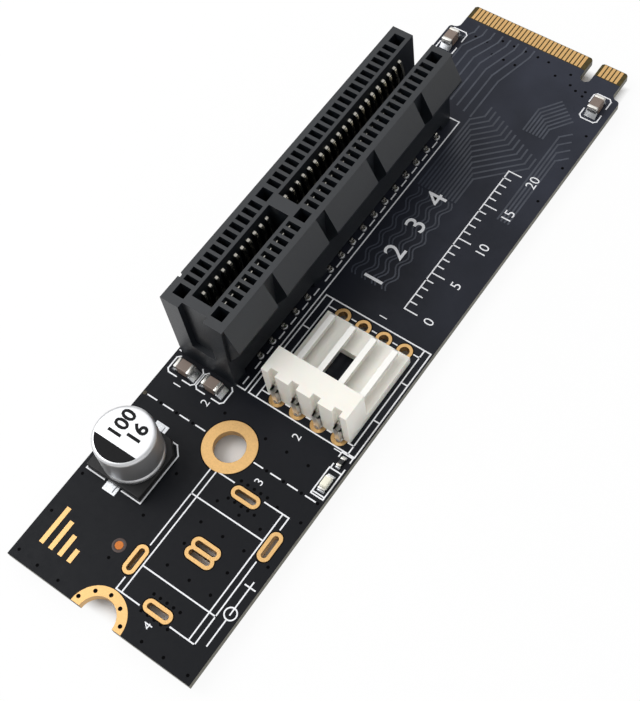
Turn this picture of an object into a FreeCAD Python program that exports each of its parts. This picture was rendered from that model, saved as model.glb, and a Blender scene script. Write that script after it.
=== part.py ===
import FreeCAD, Part
import math
import os
import re
import sys
import Sketcher

# M.2 2280 adapter card with an open-ended PCIe x4 slot.
# X runs across the card, Y along it, Z out of the component side.
# The origin is the middle of the gold-finger edge, on the underside of the board.

SIZES = {
    # board
    "board_width": 22.0,
    "board_length": 80.0,
    "board_thickness": 0.8,
    "shoulder_width": 1.075,
    "neck_length": 4.0,
    "neck_fillet": 0.7,
    "shoulder_round": 0.4,
    "finger_corner": 0.35,
    "edge_bevel": 0.15,
    "key_centre": 6.125,
    "key_width": 1.2,
    "key_depth": 3.5,
    # gold fingers
    "finger_pitch": 0.5,
    "finger_width": 0.35,
    "finger_setback": 0.2,
    "finger_length": 1.8,
    "copper_thickness": 0.04,
    "finger_side_margin": 0.675,
    "finger_key_margin_left": 1.375,
    "finger_key_margin_right": 1.125,
    # screw hole and end notch
    "screw_hole_from_end": 20.0,
    "screw_hole_bore": 3.35,
    "screw_ring": 5.6,
    "plating_wall": 0.06,
    "notch_bore": 4.0,
    "notch_ring": 6.0,
    "fiducial_x": -2.6,
    "fiducial_from_end": 6.45,
    "fiducial_diameter": 0.85,
    "fiducial_sides": 12,
    # plated slots for a DC jack
    "jack_x": 4.44,
    "jack_from_end": 10.2,
    "jack_end_offset": 6.56,
    "jack_side_x": 4.86,
    "jack_side_y": 3.93,
    "jack_slot_length": 2.4,
    "jack_slot_width": 0.58,
    "jack_land": 0.4,
    "jack_pair_spacing": 1.0,
    "jack_end_facets": 3,
    # card slot
    "slot_x": -6.67,
    "slot_near_margin": 3.03,
    "slot_far_margin": 2.77,
    "slot_width": 7.35,
    "slot_height": 11.2,
    "cavity_width": 2.4,
    "cavity_depth": 8.2,
    "end_wall": 1.1,
    "end_slit_width": 3.0,
    "end_slit_depth": 0.65,
    "end_slit_floor": 3.6,
    "key_wall": 1.5,
    "key_offset": 1.5,
    "first_contact_from_end": 28.53,
    "contact_pitch": 1.0,
    "near_contacts": 11,
    "far_contacts": 21,
    "key_gap": 3.0,
    "window_offset": 2.3,
    "window_width": 1.46,
    "window_length": 0.62,
    "lintel_height": 1.6,
    "core_length": 1.25,
    "core_width": 1.34,
    "core_depth": 5.0,
    "core_step": 1.4,
    "foot_height": 1.0,
    "foot_length": 1.7,
    "peg_diameter": 2.2,
    "peg_clearance": 0.08,
    "peg_hole_sides": 12,
    "peg_reach": 0.6,
    "peg_inset": 1.2,
    "gate_width": 0.45,
    "gate_depth": 0.25,
    "gate_inset": 2.95,
    # ridge of lugs on the slot's outer wall
    "lug_reach": 1.27,
    "lug_slope": 0.5,
    "lug_drop": 3.0,
    "lug_lip": 0.4,
    "lug_undercut": 3.1,
    "lug_inset": 0.3,
    "lug_gap": 1.4,
    "lug_pitch": 8.4,
    "first_lug_gap": 7.1,
    "lug_gap_count": 4,
    # slot contacts
    "contact_thickness": 0.2,
    "contact_width": 0.38,
    "leg_offset": 1.25,
    "outer_leg_offset": 3.25,
    "bulge_offset": 0.66,
    "bulge_depth": 3.2,
    "tip_offset": 1.72,
    "tip_depth": 0.5,
    "jog_height": 0.45,
    "tail_hole": 0.62,
    "tail_hole_sides": 4,
    "joint_foot": 1.0,
    "joint_tip": 0.45,
    "joint_height": 0.9,
    # power header
    "header_x": 4.6,
    "header_from_end": 26.65,
    "header_width": 9.9,
    "header_height": 5.25,
    "block_depth": 2.95,
    "tongue_length": 7.4,
    "tongue_thickness": 1.1,
    "pin_pitch": 2.5,
    "pin_count": 4,
    "pin_size": 0.64,
    "pin_height": 2.73,
    "pin_reach": 6.4,
    "pin_tip": 0.16,
    "pin_bend": 0.4,
    "pin_row_setback": 0.07,
    "empty_row_reach": 11.07,
    "pin_hole": 1.0,
    "pin_hole_sides": 10,
    "pin_land": 0.38,
    "pin_notch_width": 0.88,
    "pin_notch_depth": 0.6,
    "tongue_window_left": 1.7,
    "tongue_window_width": 2.8,
    "tongue_window_far": 4.63,
    "tongue_window_length": 3.8,
    "pin_joint": 1.7,
    "pin_joint_taper": 18.0,
    "tail_reach": 0.9,
    # electrolytic capacitor
    "can_x": -6.93,
    "can_from_end": 14.1,
    "can_diameter": 6.3,
    "can_height": 5.4,
    "can_seat": 0.9,
    "can_edge": 0.35,
    "can_edge_ease": 0.3,
    "bead_height": 0.55,
    "groove_height": 0.4,
    "groove_depth": 0.16,
    "base_size": 6.6,
    "base_height": 1.25,
    "base_corner": 1.3,
    "base_round": 0.35,
    "tab_width": 0.8,
    "tab_thickness": 0.2,
    "tab_reach": 4.05,
    "tab_inner": 1.0,
    "tab_land_width": 1.55,
    "tab_land_length": 0.85,
    # chip capacitors
    "chip_length": 2.0,
    "chip_width": 1.25,
    "chip_height": 1.25,
    "chip_cap": 0.45,
    "chip_cap_wall": 0.03,
    "chip_fillet": 0.45,
    "chip_fillet_rise": 0.7,
    "fillet_hollow_run": 0.35,
    "fillet_hollow_rise": 0.4,
    "chip_gap": 0.03,
    "near_chip_x": -8.7,
    "near_chip_spacing": 3.5,
    "near_chip_from_end": 24.12,
    "left_chip_x": -9.55,
    "right_chip_x": 9.2,
    "neck_chip_setback": 6.15,
    # indicator lamp and resistor
    "small_part_x": 10.0,
    "lamp_from_end": 22.05,
    "lamp_length": 1.6,
    "lamp_width": 0.8,
    "lamp_base_height": 0.25,
    "lens_length": 1.1,
    "lens_height": 0.4,
    "lens_draft": 8.0,
    "resistor_from_end": 24.55,
    "resistor_length": 1.0,
    "resistor_width": 0.5,
    "resistor_height": 0.32,
    "end_metal": 0.25,
    "end_metal_wall": 0.03,
    "small_fillet": 0.3,
}

# Places and lengths that follow from the sizes. Everything but the neck is set out from the notched end.
PLACES = {
    "neck_width": "board_width - 2 * shoulder_width",
    "screw_hole_y": "screw_hole_from_end - board_length",
    "jack_y": "jack_from_end - board_length",
    "fiducial_y": "fiducial_from_end - board_length",
    "can_y": "can_from_end - board_length",
    "first_contact": "first_contact_from_end - board_length",
    "slot_near": "first_contact - slot_near_margin",
    "contact_run": "(near_contacts + far_contacts - 2) * contact_pitch + key_gap",
    "slot_length": "contact_run + slot_near_margin + slot_far_margin",
    "header_rear": "header_from_end - board_length",
    "pin_row_y": "header_rear - pin_row_setback",
    "empty_row_y": "header_rear + empty_row_reach",
    "near_chip_y": "near_chip_from_end - board_length",
    "neck_chip_y": "-neck_chip_setback",
    "lamp_y": "lamp_from_end - board_length",
    "resistor_y": "resistor_from_end - board_length",
}

NAME = re.compile(r"[a-z_]+")

# How near two places are to count as the same, and to find an edge by its middle.
SAME = 0.001
NEARBY = 0.02

doc = FreeCAD.newDocument("AdapterCard")
sheet = doc.addObject("Spreadsheet::Sheet", "Sizes")
for row, (name, value) in enumerate([*SIZES.items(), *PLACES.items()], start=1):
    sheet.set(f"A{row}", name)
    sheet.set(f"B{row}", "=" + value if name in PLACES else str(value))
    sheet.setAlias(f"B{row}", name)
doc.recompute()


def formula(text):
    """The text with each name of a size or place pointed at its cell."""

    def point(found):
        word = found.group()
        return "Sizes." + word if word in SIZES or word in PLACES else word

    return NAME.sub(point, text)


def number(text):
    """What a formula is worth now."""
    return float(sheet.evalExpression(formula(text)))


def tie(target, path, text):
    target.setExpression(path, formula(text))


def new_body(name):
    body = doc.addObject("PartDesign::Body", name)
    body.Label = name
    return body


def origin_feature(body, role):
    return next(feature for feature in body.Origin.OriginFeatures if feature.Role == role)


def new_sketch(body, name, plane="XY_Plane", x="0", y="0", z="0"):
    """A sketch on one of the body's origin planes, moved within that plane's own axes."""
    sketch = body.newObject("Sketcher::SketchObject", name)
    sketch.AttachmentSupport = [(origin_feature(body, plane), "")]
    sketch.MapMode = "FlatFace"
    for axis, text in zip("xyz", (x, y, z)):
        tie(sketch, "AttachmentOffset.Base." + axis, text)
    return sketch


def fix_point(sketch, edge, end, x, y):
    """Ties one end of an edge to formulas measured from the sketch's origin."""
    for kind, text in (("DistanceX", x), ("DistanceY", y)):
        index = sketch.addConstraint(Sketcher.Constraint(kind, -1, 1, edge, end, number(text)))
        tie(sketch, f"Constraints[{index}]", text)


def draw_outline(sketch, points):
    """A closed outline of straight lines through points given as pairs of formulas."""
    places = [FreeCAD.Vector(number(x), number(y), 0) for x, y in points]
    first = len(sketch.Geometry)
    for start, end in zip(places, places[1:] + places[:1]):
        sketch.addGeometry(Part.LineSegment(start, end), False)
    count = len(points)
    for step in range(count):
        after = first + (step + 1) % count
        sketch.addConstraint(Sketcher.Constraint("Coincident", first + step, 2, after, 1))
        fix_point(sketch, first + step, 1, *points[step])


def draw_box(sketch, width, depth, x="0", y="0"):
    """A rectangle with its middle at x, y."""
    left, right = f"{x} - ({width}) / 2", f"{x} + ({width}) / 2"
    low, high = f"{y} - ({depth}) / 2", f"{y} + ({depth}) / 2"
    draw_outline(sketch, [(left, low), (right, low), (right, high), (left, high)])


def draw_circle(sketch, diameter, x="0", y="0"):
    centre = FreeCAD.Vector(number(x), number(y), 0)
    edge = sketch.addGeometry(Part.Circle(centre, FreeCAD.Vector(0, 0, 1), number(diameter) / 2), False)
    fix_point(sketch, edge, 3, x, y)
    index = sketch.addConstraint(Sketcher.Constraint("Diameter", edge, number(diameter)))
    tie(sketch, f"Constraints[{index}]", diameter)


def draw_polygon(sketch, sides, across, x="0", y="0"):
    """A regular polygon, flat against flat the given width across."""
    count = int(number(sides))
    reach = f"({across}) / 2 / cos(180 / ({sides}))"
    points = []
    for corner in range(count):
        turn = f"({corner} + 0.5) * 360 / ({sides})"
        points.append((f"{x} + {reach} * cos({turn})", f"{y} + {reach} * sin({turn})"))
    draw_outline(sketch, points)


def draw_round_slot(sketch, length, width, along="x", x="0", y="0"):
    """A slot outline with two half-round ends, its middle at x, y."""
    half = f"(({length}) - ({width})) / 2"
    turn = 0 if along == "x" else 90
    ends = [(f"{x} + {half}", y), (f"{x} - {half}", y)]
    if along == "y":
        ends = [(x, f"{y} + {half}"), (x, f"{y} - {half}")]
    radius = number(width) / 2
    first = len(sketch.Geometry)
    arcs = []
    for start, end in zip((-90, 90), ends):
        centre = FreeCAD.Vector(number(end[0]), number(end[1]), 0)
        circle = Part.Circle(centre, FreeCAD.Vector(0, 0, 1), radius)
        low = math.radians(start + turn)
        arcs.append(Part.ArcOfCircle(circle, low, low + math.pi))
    line_out = Part.LineSegment(arcs[0].EndPoint, arcs[1].StartPoint)
    line_back = Part.LineSegment(arcs[1].EndPoint, arcs[0].StartPoint)
    for piece in (arcs[0], line_out, arcs[1], line_back):
        sketch.addGeometry(piece, False)
    for step in range(4):
        after = first + (step + 1) % 4
        sketch.addConstraint(Sketcher.Constraint("Tangent", first + step, 2, after, 1))
    for edge, end in zip((first, first + 2), ends):
        fix_point(sketch, edge, 3, *end)
    index = sketch.addConstraint(Sketcher.Constraint("Radius", first, radius))
    tie(sketch, f"Constraints[{index}]", f"({width}) / 2")


def draw_facet_slot(sketch, length, width, along, x, y):
    """A slot outline whose round ends are a few flats, for the small plated slots."""
    facets = int(number("jack_end_facets"))
    half, radius = f"(({length}) - ({width})) / 2", f"({width}) / 2"
    points = []
    for end, start in ((1, -90), (-1, 90)):
        for step in range(facets + 1):
            turn = f"({start} + {step} * 180 / jack_end_facets)"
            run = f"{end} * {half} + {radius} * cos({turn})"
            rise = f"{radius} * sin({turn})"
            if along == "x":
                points.append((f"{x} + {run}", f"{y} + {rise}"))
            else:
                points.append((f"{x} - {rise}", f"{y} + {run}"))
    draw_outline(sketch, points)


def pad(body, sketch, length, name, down=False, both=False):
    feature = body.newObject("PartDesign::Pad", name)
    feature.Profile = sketch
    feature.Refine = False
    feature.Reversed = down
    if both:
        feature.SideType = "Symmetric"
    tie(feature, "Length", length)
    sketch.Visibility = False
    return feature


def pocket(body, sketch, depth, name, up=False, both=False):
    """Cuts down from the sketch, or up, or equally both ways."""
    feature = body.newObject("PartDesign::Pocket", name)
    feature.Profile = sketch
    feature.Refine = False
    feature.Reversed = up
    if both:
        feature.SideType = "Symmetric"
    tie(feature, "Length", depth)
    return feature


def revolve(body, sketch, name, angle=360, both=False):
    """Turns a profile about its sketch's own upright axis."""
    feature = body.newObject("PartDesign::Revolution", name)
    feature.Profile = sketch
    feature.ReferenceAxis = (sketch, ["V_Axis"])
    feature.Angle = angle
    feature.Midplane = both
    return feature


def repeat(body, features, axis, spacing, count, name):
    """A row of the features along one of the body's axes."""
    pattern = body.newObject("PartDesign::LinearPattern", name)
    pattern.Originals = features
    pattern.Direction = (origin_feature(body, axis), [""])
    pattern.Mode = "Spacing"
    pattern.Refine = False
    tie(pattern, "Offset", spacing)
    tie(pattern, "Occurrences", count)
    body.Tip = pattern
    return pattern


def edges_at(feature, places, upright=True):
    """Names of the feature's edges whose middles lie at the given places."""
    doc.recompute()
    found = []
    for index, edge in enumerate(feature.Shape.Edges, start=1):
        middle = edge.CenterOfMass
        spread = edge.BoundBox
        if upright and spread.ZLength < max(spread.XLength, spread.YLength):
            continue
        for place in places:
            if all(want is None or abs(have - want) < NEARBY for have, want in zip(middle, place)):
                found.append(f"Edge{index}")
                break
    return found


def soften(body, base, names, radius, name, kind="Fillet"):
    """A fillet or a chamfer of one size on the named edges."""
    feature = body.newObject("PartDesign::" + kind, name)
    feature.Base = (base, names)
    tie(feature, "Radius" if kind == "Fillet" else "Size", radius)
    body.Tip = feature
    return feature


# ---------------------------------------------------------------- board

FAR_CONTACT = "first_contact + (near_contacts - 1) * contact_pitch + key_gap"


def tail_runs():
    """Runs of every other contact: leg offsets on the left and right, first station and count.

    Odd contacts step outwards on the left and even ones on the right, so that the tails
    of neighbours stand in separate rows. The key splits each run in two.
    """
    far_is_odd = int(number("near_contacts")) % 2 == 0
    near = ("first_contact", "near_contacts", True)
    far = (FAR_CONTACT, "far_contacts", far_is_odd)
    for start, total, odd_first in (near, far):
        for odd in (True, False):
            leads = odd == odd_first
            station = start if leads else start + " + contact_pitch"
            count = f"ceil({total} / 2)" if leads else f"floor({total} / 2)"
            offsets = ("outer_leg_offset", "leg_offset") if odd else ("leg_offset", "outer_leg_offset")
            yield offsets, station, count


def make_board():
    body = new_body("board")
    outline = new_sketch(body, "board_outline")
    half, neck = "board_width / 2", "neck_width / 2"
    draw_outline(outline, [
        ("-" + half, "-board_length"), (half, "-board_length"), (half, "-neck_length"),
        (neck, "-neck_length"), (neck, "0"), ("-" + neck, "0"), ("-" + neck, "-neck_length"),
        ("-" + half, "-neck_length"),
    ])
    pad(body, outline, "board_thickness", "board_panel")
    key = new_sketch(body, "key_notch", z="board_thickness")
    draw_round_slot(key, "2 * key_depth", "key_width", "y", "key_centre", "0")
    shape = pocket(body, key, "board_thickness", "key_cut")
    notch = new_sketch(body, "end_notch", z="board_thickness")
    draw_circle(notch, "notch_bore", y="-board_length")
    shape = pocket(body, notch, "board_thickness", "end_notch_cut")
    neck_x, half_x = number(neck), number(half)
    neck_y = number("-neck_length")
    middle = number("board_thickness / 2")
    inner = edges_at(shape, [(side * neck_x, neck_y, middle) for side in (-1, 1)])
    shape = soften(body, shape, inner, "neck_fillet", "neck_fillets")
    outer = edges_at(shape, [(side * half_x, neck_y, middle) for side in (-1, 1)])
    shape = soften(body, shape, outer, "shoulder_round", "shoulder_rounds")
    mouth = [number("key_centre - key_width / 2"), number("key_centre + key_width / 2")]
    corners = edges_at(shape, [(x, 0, middle) for x in mouth + [-neck_x, neck_x]])
    shape = soften(body, shape, corners, "finger_corner", "finger_corners", "Chamfer")
    doc.recompute()
    bevels = []
    for index, edge in enumerate(shape.Shape.Edges, start=1):
        box = edge.BoundBox
        flat = box.ZLength < SAME and box.YLength < SAME
        if flat and abs(box.YMax) < SAME:
            bevels.append(f"Edge{index}")
    soften(body, shape, bevels, "edge_bevel", "finger_bevel", "Chamfer")

    round_holes = new_sketch(body, "round_holes", z="board_thickness")
    draw_circle(round_holes, "screw_hole_bore", y="screw_hole_y")
    for place in PEG_Y.values():
        draw_polygon(round_holes, "peg_hole_sides", "peg_diameter + 2 * peg_clearance", "slot_x", place)
    pocket(body, round_holes, "board_thickness", "round_hole_cut")
    jack = new_sketch(body, "jack_slots", z="board_thickness")
    for draw in JACK_SINGLES + JACK_PAIR:
        draw(jack, "plating_wall")
    pocket(body, jack, "board_thickness", "jack_slot_cut")
    pins = new_sketch(body, "pin_holes", z="board_thickness")
    for draw in (pin_hole("pin_row_y"), pin_hole("empty_row_y")):
        draw(pins, "plating_wall")
    cut = pocket(body, pins, "board_thickness", "pin_hole_cut")
    repeat(body, [cut], "X_Axis", "pin_pitch", "pin_count", "pin_hole_rows")
    for index, ((left, right), station, count) in enumerate(tail_runs()):
        holes = new_sketch(body, f"tail_holes_{index}", z="board_thickness")
        for place in (f"slot_x - {left}", f"slot_x + {right}"):
            draw_polygon(holes, "tail_hole_sides", "tail_hole", place, station)
        cut = pocket(body, holes, "board_thickness", f"tail_hole_cut_{index}")
        repeat(body, [cut], "Y_Axis", "2 * contact_pitch", count, f"tail_hole_row_{index}")
    return body


FIRST_PIN = "header_x - (pin_count - 1) * pin_pitch / 2"
KEY_Y = "first_contact + (near_contacts - 1) * contact_pitch + key_offset"
PEG_Y = {"near_peg": "slot_near + peg_inset", "key_peg": KEY_Y}


def jack_slot(x, y, along):
    """Draws one jack slot, grown by a margin all round."""
    def draw(sketch, margin):
        length, width = f"jack_slot_length + 2 * {margin}", f"jack_slot_width + 2 * {margin}"
        draw_facet_slot(sketch, length, width, along, x, y)
    return draw


def pin_hole(row):
    """Draws the first hole of a header row, grown by a margin all round."""
    def draw(sketch, margin):
        draw_polygon(sketch, "pin_hole_sides", f"pin_hole + 2 * {margin}", FIRST_PIN, row)
    return draw


JACK_SINGLES = [
    jack_slot("jack_x", "jack_y + jack_end_offset", "x"),
    jack_slot("jack_x", "jack_y - jack_end_offset", "x"),
    jack_slot("jack_x + jack_side_x", "jack_y + jack_side_y", "y"),
    jack_slot("jack_x - jack_side_x", "jack_y - jack_side_y", "y"),
]
JACK_PAIR = [jack_slot("jack_x", f"jack_y + {side} * jack_pair_spacing / 2", "x") for side in (-1, 1)]


# ---------------------------------------------------------------- copper

def make_fingers(name, underside):
    """Two rows of contact pads either side of the key notch, as many as the neck has room for."""
    body = new_body(name)
    shift = "finger_pitch / 2" if underside else "0"
    level = "0" if underside else "board_thickness"
    edge = f"neck_width / 2 - finger_side_margin - {shift}"
    long_end = f"key_centre - finger_key_margin_left + {shift}"
    short_start = f"key_centre + finger_key_margin_right + {shift}"
    for part, start, end in (("long", f"-({edge})", long_end), ("short", short_start, edge)):
        sketch = new_sketch(body, f"{name}_{part}", z=level)
        draw_box(sketch, "finger_width", "finger_length", start, "-(finger_setback + finger_length / 2)")
        strip = pad(body, sketch, "copper_thickness", f"{name}_{part}_pad", down=underside)
        count = f"floor(({end} - ({start})) / finger_pitch + 0.01) + 1"
        repeat(body, [strip], "X_Axis", "finger_pitch", count, f"{name}_{part}_row")
    return body


def ring_section(sketch, bore, ring):
    """Half section of two flat copper rings, one on each face of the board."""
    for low in ("-copper_thickness", "board_thickness"):
        high = low + " + copper_thickness"
        inner, outer = f"{bore} / 2", f"{ring} / 2"
        draw_outline(sketch, [(inner, low), (outer, low), (outer, high), (inner, high)])


def make_mount_ring():
    """Copper rings round the screw hole."""
    body = new_body("mount_ring")
    sketch = new_sketch(body, "mount_ring_section", "XZ_Plane", z="-(screw_hole_y)")
    ring_section(sketch, "screw_hole_bore", "screw_ring")
    revolve(body, sketch, "mount_ring_turn")
    return body


def make_end_ring():
    """Half rings of copper round the end notch."""
    body = new_body("end_ring")
    sketch = new_sketch(body, "end_ring_section", "YZ_Plane", x="-board_length")
    ring_section(sketch, "notch_bore", "notch_ring")
    revolve(body, sketch, "end_ring_turn", 180, both=True)
    return body


def plate(body, openings, land):
    """Barrels with a flange on each face of the board, bored through last."""
    level = "board_thickness + copper_thickness"
    through = "board_thickness + 2 * copper_thickness"
    features = []
    for part, margin, top, length in (
        ("barrel", "plating_wall", level, through),
        ("top_flange", land, level, "copper_thickness"),
        ("low_flange", land, "0", "copper_thickness"),
    ):
        for index, draw in enumerate(openings):
            sketch = new_sketch(body, f"{body.Name}_{part}_{index}", z=top)
            draw(sketch, margin)
            features.append(pad(body, sketch, length, f"{body.Name}_{part}_pad_{index}", down=True))
    bore = new_sketch(body, f"{body.Name}_bore", z=level)
    for draw in openings:
        draw(bore, "0")
    features.append(pocket(body, bore, through, f"{body.Name}_bore_cut"))
    return features


def make_jack_plating(name, openings):
    body = new_body(name)
    plate(body, openings, "jack_land")
    return body


def make_hole_plating(name, row):
    """Four plated header holes in a line across the card."""
    body = new_body(name)
    features = plate(body, [pin_hole(row)], "pin_land")
    repeat(body, features, "X_Axis", "pin_pitch", "pin_count", name + "_row")
    return body


def make_fiducial():
    body = new_body("fiducial")
    sketch = new_sketch(body, "fiducial_dot", z="board_thickness")
    draw_polygon(sketch, "fiducial_sides", "fiducial_diameter", "fiducial_x", "fiducial_y")
    pad(body, sketch, "copper_thickness", "fiducial_pad")
    return body


# ---------------------------------------------------------------- card slot

SLOT_TOP = "board_thickness + slot_height"
SLOT_FAR = "slot_near + slot_length"
BASE_TOP = SLOT_TOP + " - cavity_depth"
CONTACT_RUNS = (("near", "first_contact", "near_contacts"), ("far", FAR_CONTACT, "far_contacts"))


def make_slot_housing():
    body = new_body("slot_housing")
    block = new_sketch(body, "slot_block", z="board_thickness")
    draw_box(block, "slot_width", "slot_length", "slot_x", "slot_near + slot_length / 2")
    pad(body, block, "slot_height", "slot_block_pad")

    # ridge of lugs: slopes out from the rim, turns under and returns to the wall
    ridge = new_sketch(body, "lug_section", "XZ_Plane", z="-(slot_near + lug_inset)")
    wall = "slot_x + slot_width / 2"
    draw_outline(ridge, [
        (wall + " - lug_slope * lug_reach", SLOT_TOP), (wall, SLOT_TOP),
        (wall + " + lug_reach", SLOT_TOP + " - lug_drop"),
        (wall + " + lug_reach", SLOT_TOP + " - lug_drop - lug_lip"),
        (wall, SLOT_TOP + " - lug_drop - lug_lip - lug_undercut"),
        (wall + " - lug_slope * lug_reach", SLOT_TOP + " - lug_drop - lug_lip - lug_undercut"),
    ])
    pad(body, ridge, "slot_length - 2 * lug_inset", "lug_ridge", down=True)
    gap = new_sketch(body, "lug_gap_outline", z=SLOT_TOP)
    draw_box(gap, "2 * lug_reach", "lug_gap", wall + " + lug_reach", "slot_near + first_lug_gap")
    cut = pocket(body, gap, "lug_drop + lug_lip + lug_undercut", "lug_gap_cut")
    repeat(body, [cut], "Y_Axis", "lug_pitch", "lug_gap_count", "lug_gaps")

    # card cavity either side of the key wall, open at the far end
    cavity = new_sketch(body, "cavity_outline", z=SLOT_TOP)
    near_end = "slot_near + end_slit_depth + end_wall"
    half = "cavity_width / 2"
    for low, high in ((near_end, f"{KEY_Y} - key_wall / 2"), (f"{KEY_Y} + key_wall / 2", SLOT_FAR + " + 1")):
        draw_outline(cavity, [
            ("slot_x - " + half, low), ("slot_x + " + half, low),
            ("slot_x + " + half, high), ("slot_x - " + half, high),
        ])
    pocket(body, cavity, "cavity_depth", "cavity_cut")
    slit = new_sketch(body, "end_slit", z=SLOT_TOP)
    draw_box(slit, "end_slit_width", "2 * end_slit_depth", "slot_x", "slot_near")
    pocket(body, slit, "slot_height - end_slit_floor", "end_slit_cut")
    gate = new_sketch(body, "gate_groove", z=SLOT_TOP)
    draw_box(gate, "2 * gate_depth", "gate_width", "slot_x - slot_width / 2", "slot_near + gate_inset")
    pocket(body, gate, "slot_height", "gate_cut")

    # cored squares beside the first contact, the key and the last contact
    cores = new_sketch(body, "core_outlines", z=SLOT_TOP)
    last = f"{FAR_CONTACT} + (far_contacts - 1) * contact_pitch"
    for side in (-1, 1):
        for place in ("first_contact - core_step", KEY_Y, last + " + core_step"):
            draw_box(cores, "core_width", "core_length", f"slot_x + {side} * window_offset", place)
    pocket(body, cores, "core_depth", "core_cuts")

    # one window and channel for each contact, open below so that the contact goes in from there
    for part, start, count in CONTACT_RUNS:
        windows = new_sketch(body, f"{part}_windows", z=SLOT_TOP)
        channels = new_sketch(body, f"{part}_channels", z=SLOT_TOP + " - lintel_height")
        inner = "leg_offset - contact_thickness / 2"
        for side in (-1, 1):
            draw_box(windows, "window_width", "window_length", f"slot_x + {side} * window_offset", start)
            middle = f"slot_x + {side} * (window_offset + {inner}) / 2"
            draw_box(channels, f"window_offset - ({inner})", "window_length", middle, start)
        window = pocket(body, windows, "slot_height", f"{part}_window_cut")
        channel = pocket(body, channels, "slot_height - lintel_height", f"{part}_channel_cut")
        repeat(body, [window, channel], "Y_Axis", "contact_pitch", count, f"{part}_contact_cuts")

    # feet at both ends and under the key, and two pegs that enter the board
    under = new_sketch(body, "foot_gap", z="board_thickness")
    key_foot = "peg_diameter / 2"
    for low, high in (
        ("slot_near + foot_length", f"{KEY_Y} - {key_foot}"),
        (f"{KEY_Y} + {key_foot}", SLOT_FAR + " - foot_length"),
    ):
        left, right = "slot_x - slot_width", "slot_x + slot_width"
        draw_outline(under, [(left, low), (right, low), (right, high), (left, high)])
    pocket(body, under, "foot_height", "foot_gap_cut", up=True)
    pegs = new_sketch(body, "peg_outline", z="board_thickness")
    for place in PEG_Y.values():
        draw_circle(pegs, "peg_diameter", "slot_x", place)
    pad(body, pegs, "peg_reach", "pegs", down=True)
    return body


def contact_profile(side, outer):
    """Outline of one spring contact across the slot, from its tip down to its tail's clipped end."""
    half = "contact_thickness / 2"
    leg = "leg_offset"
    jog = "board_thickness + jog_height"
    spine = [
        ("tip_offset", SLOT_TOP + " - tip_depth"),
        ("bulge_offset", SLOT_TOP + " - bulge_depth"),
        (leg, BASE_TOP),
    ]
    inner = [(f"{u} - {half}", z) for u, z in spine]
    back = [(f"{u} + {half}", z) for u, z in spine]
    if outer:
        inner += [
            (f"{leg} - {half}", jog),
            (f"outer_leg_offset - {half}", jog),
            (f"outer_leg_offset - {half}", "0"),
        ]
        back += [
            (f"{leg} + {half}", f"{jog} + contact_thickness"),
            (f"outer_leg_offset + {half}", f"{jog} + contact_thickness"), (f"outer_leg_offset + {half}", "0"),
        ]
    else:
        inner.append((f"{leg} - {half}", "0"))
        back.append((f"{leg} + {half}", "0"))
    return [(f"slot_x + {side} * ({u})", z) for u, z in inner + back[::-1]]


def make_slot_contacts(name, side):
    body = new_body(name)
    for index, (offsets, station, count) in enumerate(tail_runs()):
        outer = offsets[(side + 1) // 2] == "outer_leg_offset"
        sketch = new_sketch(body, f"{name}_{index}", "XZ_Plane", z=f"-({station})")
        draw_outline(sketch, contact_profile(side, outer))
        strip = pad(body, sketch, "contact_width", f"{name}_strip_{index}", both=True)
        repeat(body, [strip], "Y_Axis", "2 * contact_pitch", count, f"{name}_row_{index}")
    return body


def make_slot_solder():
    """Mounds of solder under the board, one over each clipped tail."""
    body = new_body("slot_solder")
    for index, (offsets, station, count) in enumerate(tail_runs()):
        mounds = []
        for side, offset in zip(("-", "+"), offsets):
            word = "left" if side == "-" else "right"
            mound = body.newObject("PartDesign::AdditiveWedge", f"mound_{index}_{word}")
            mound.AttachmentSupport = [(origin_feature(body, "XZ_Plane"), "")]
            mound.MapMode = "FlatFace"
            mound.Refine = False
            tie(mound, "AttachmentOffset.Base.x", f"slot_x {side} {offset}")
            tie(mound, "AttachmentOffset.Base.z", f"-({station})")
            tie(mound, "Ymin", "-joint_height")
            tie(mound, "Ymax", "0")
            for low, high, across in (("Xmin", "Xmax", "joint_tip"), ("Zmin", "Zmax", "joint_tip"),
                                      ("X2min", "X2max", "joint_foot"), ("Z2min", "Z2max", "joint_foot")):
                tie(mound, low, f"-{across} / 2")
                tie(mound, high, f"{across} / 2")
            mounds.append(mound)
        repeat(body, mounds, "Y_Axis", "2 * contact_pitch", count, f"mound_row_{index}")
    return body


# ---------------------------------------------------------------- power header

HEADER_LEFT = "header_x - header_width / 2"
PIN_Z = "board_thickness + pin_height"
BLOCK_FACE = "header_rear + block_depth"


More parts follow.
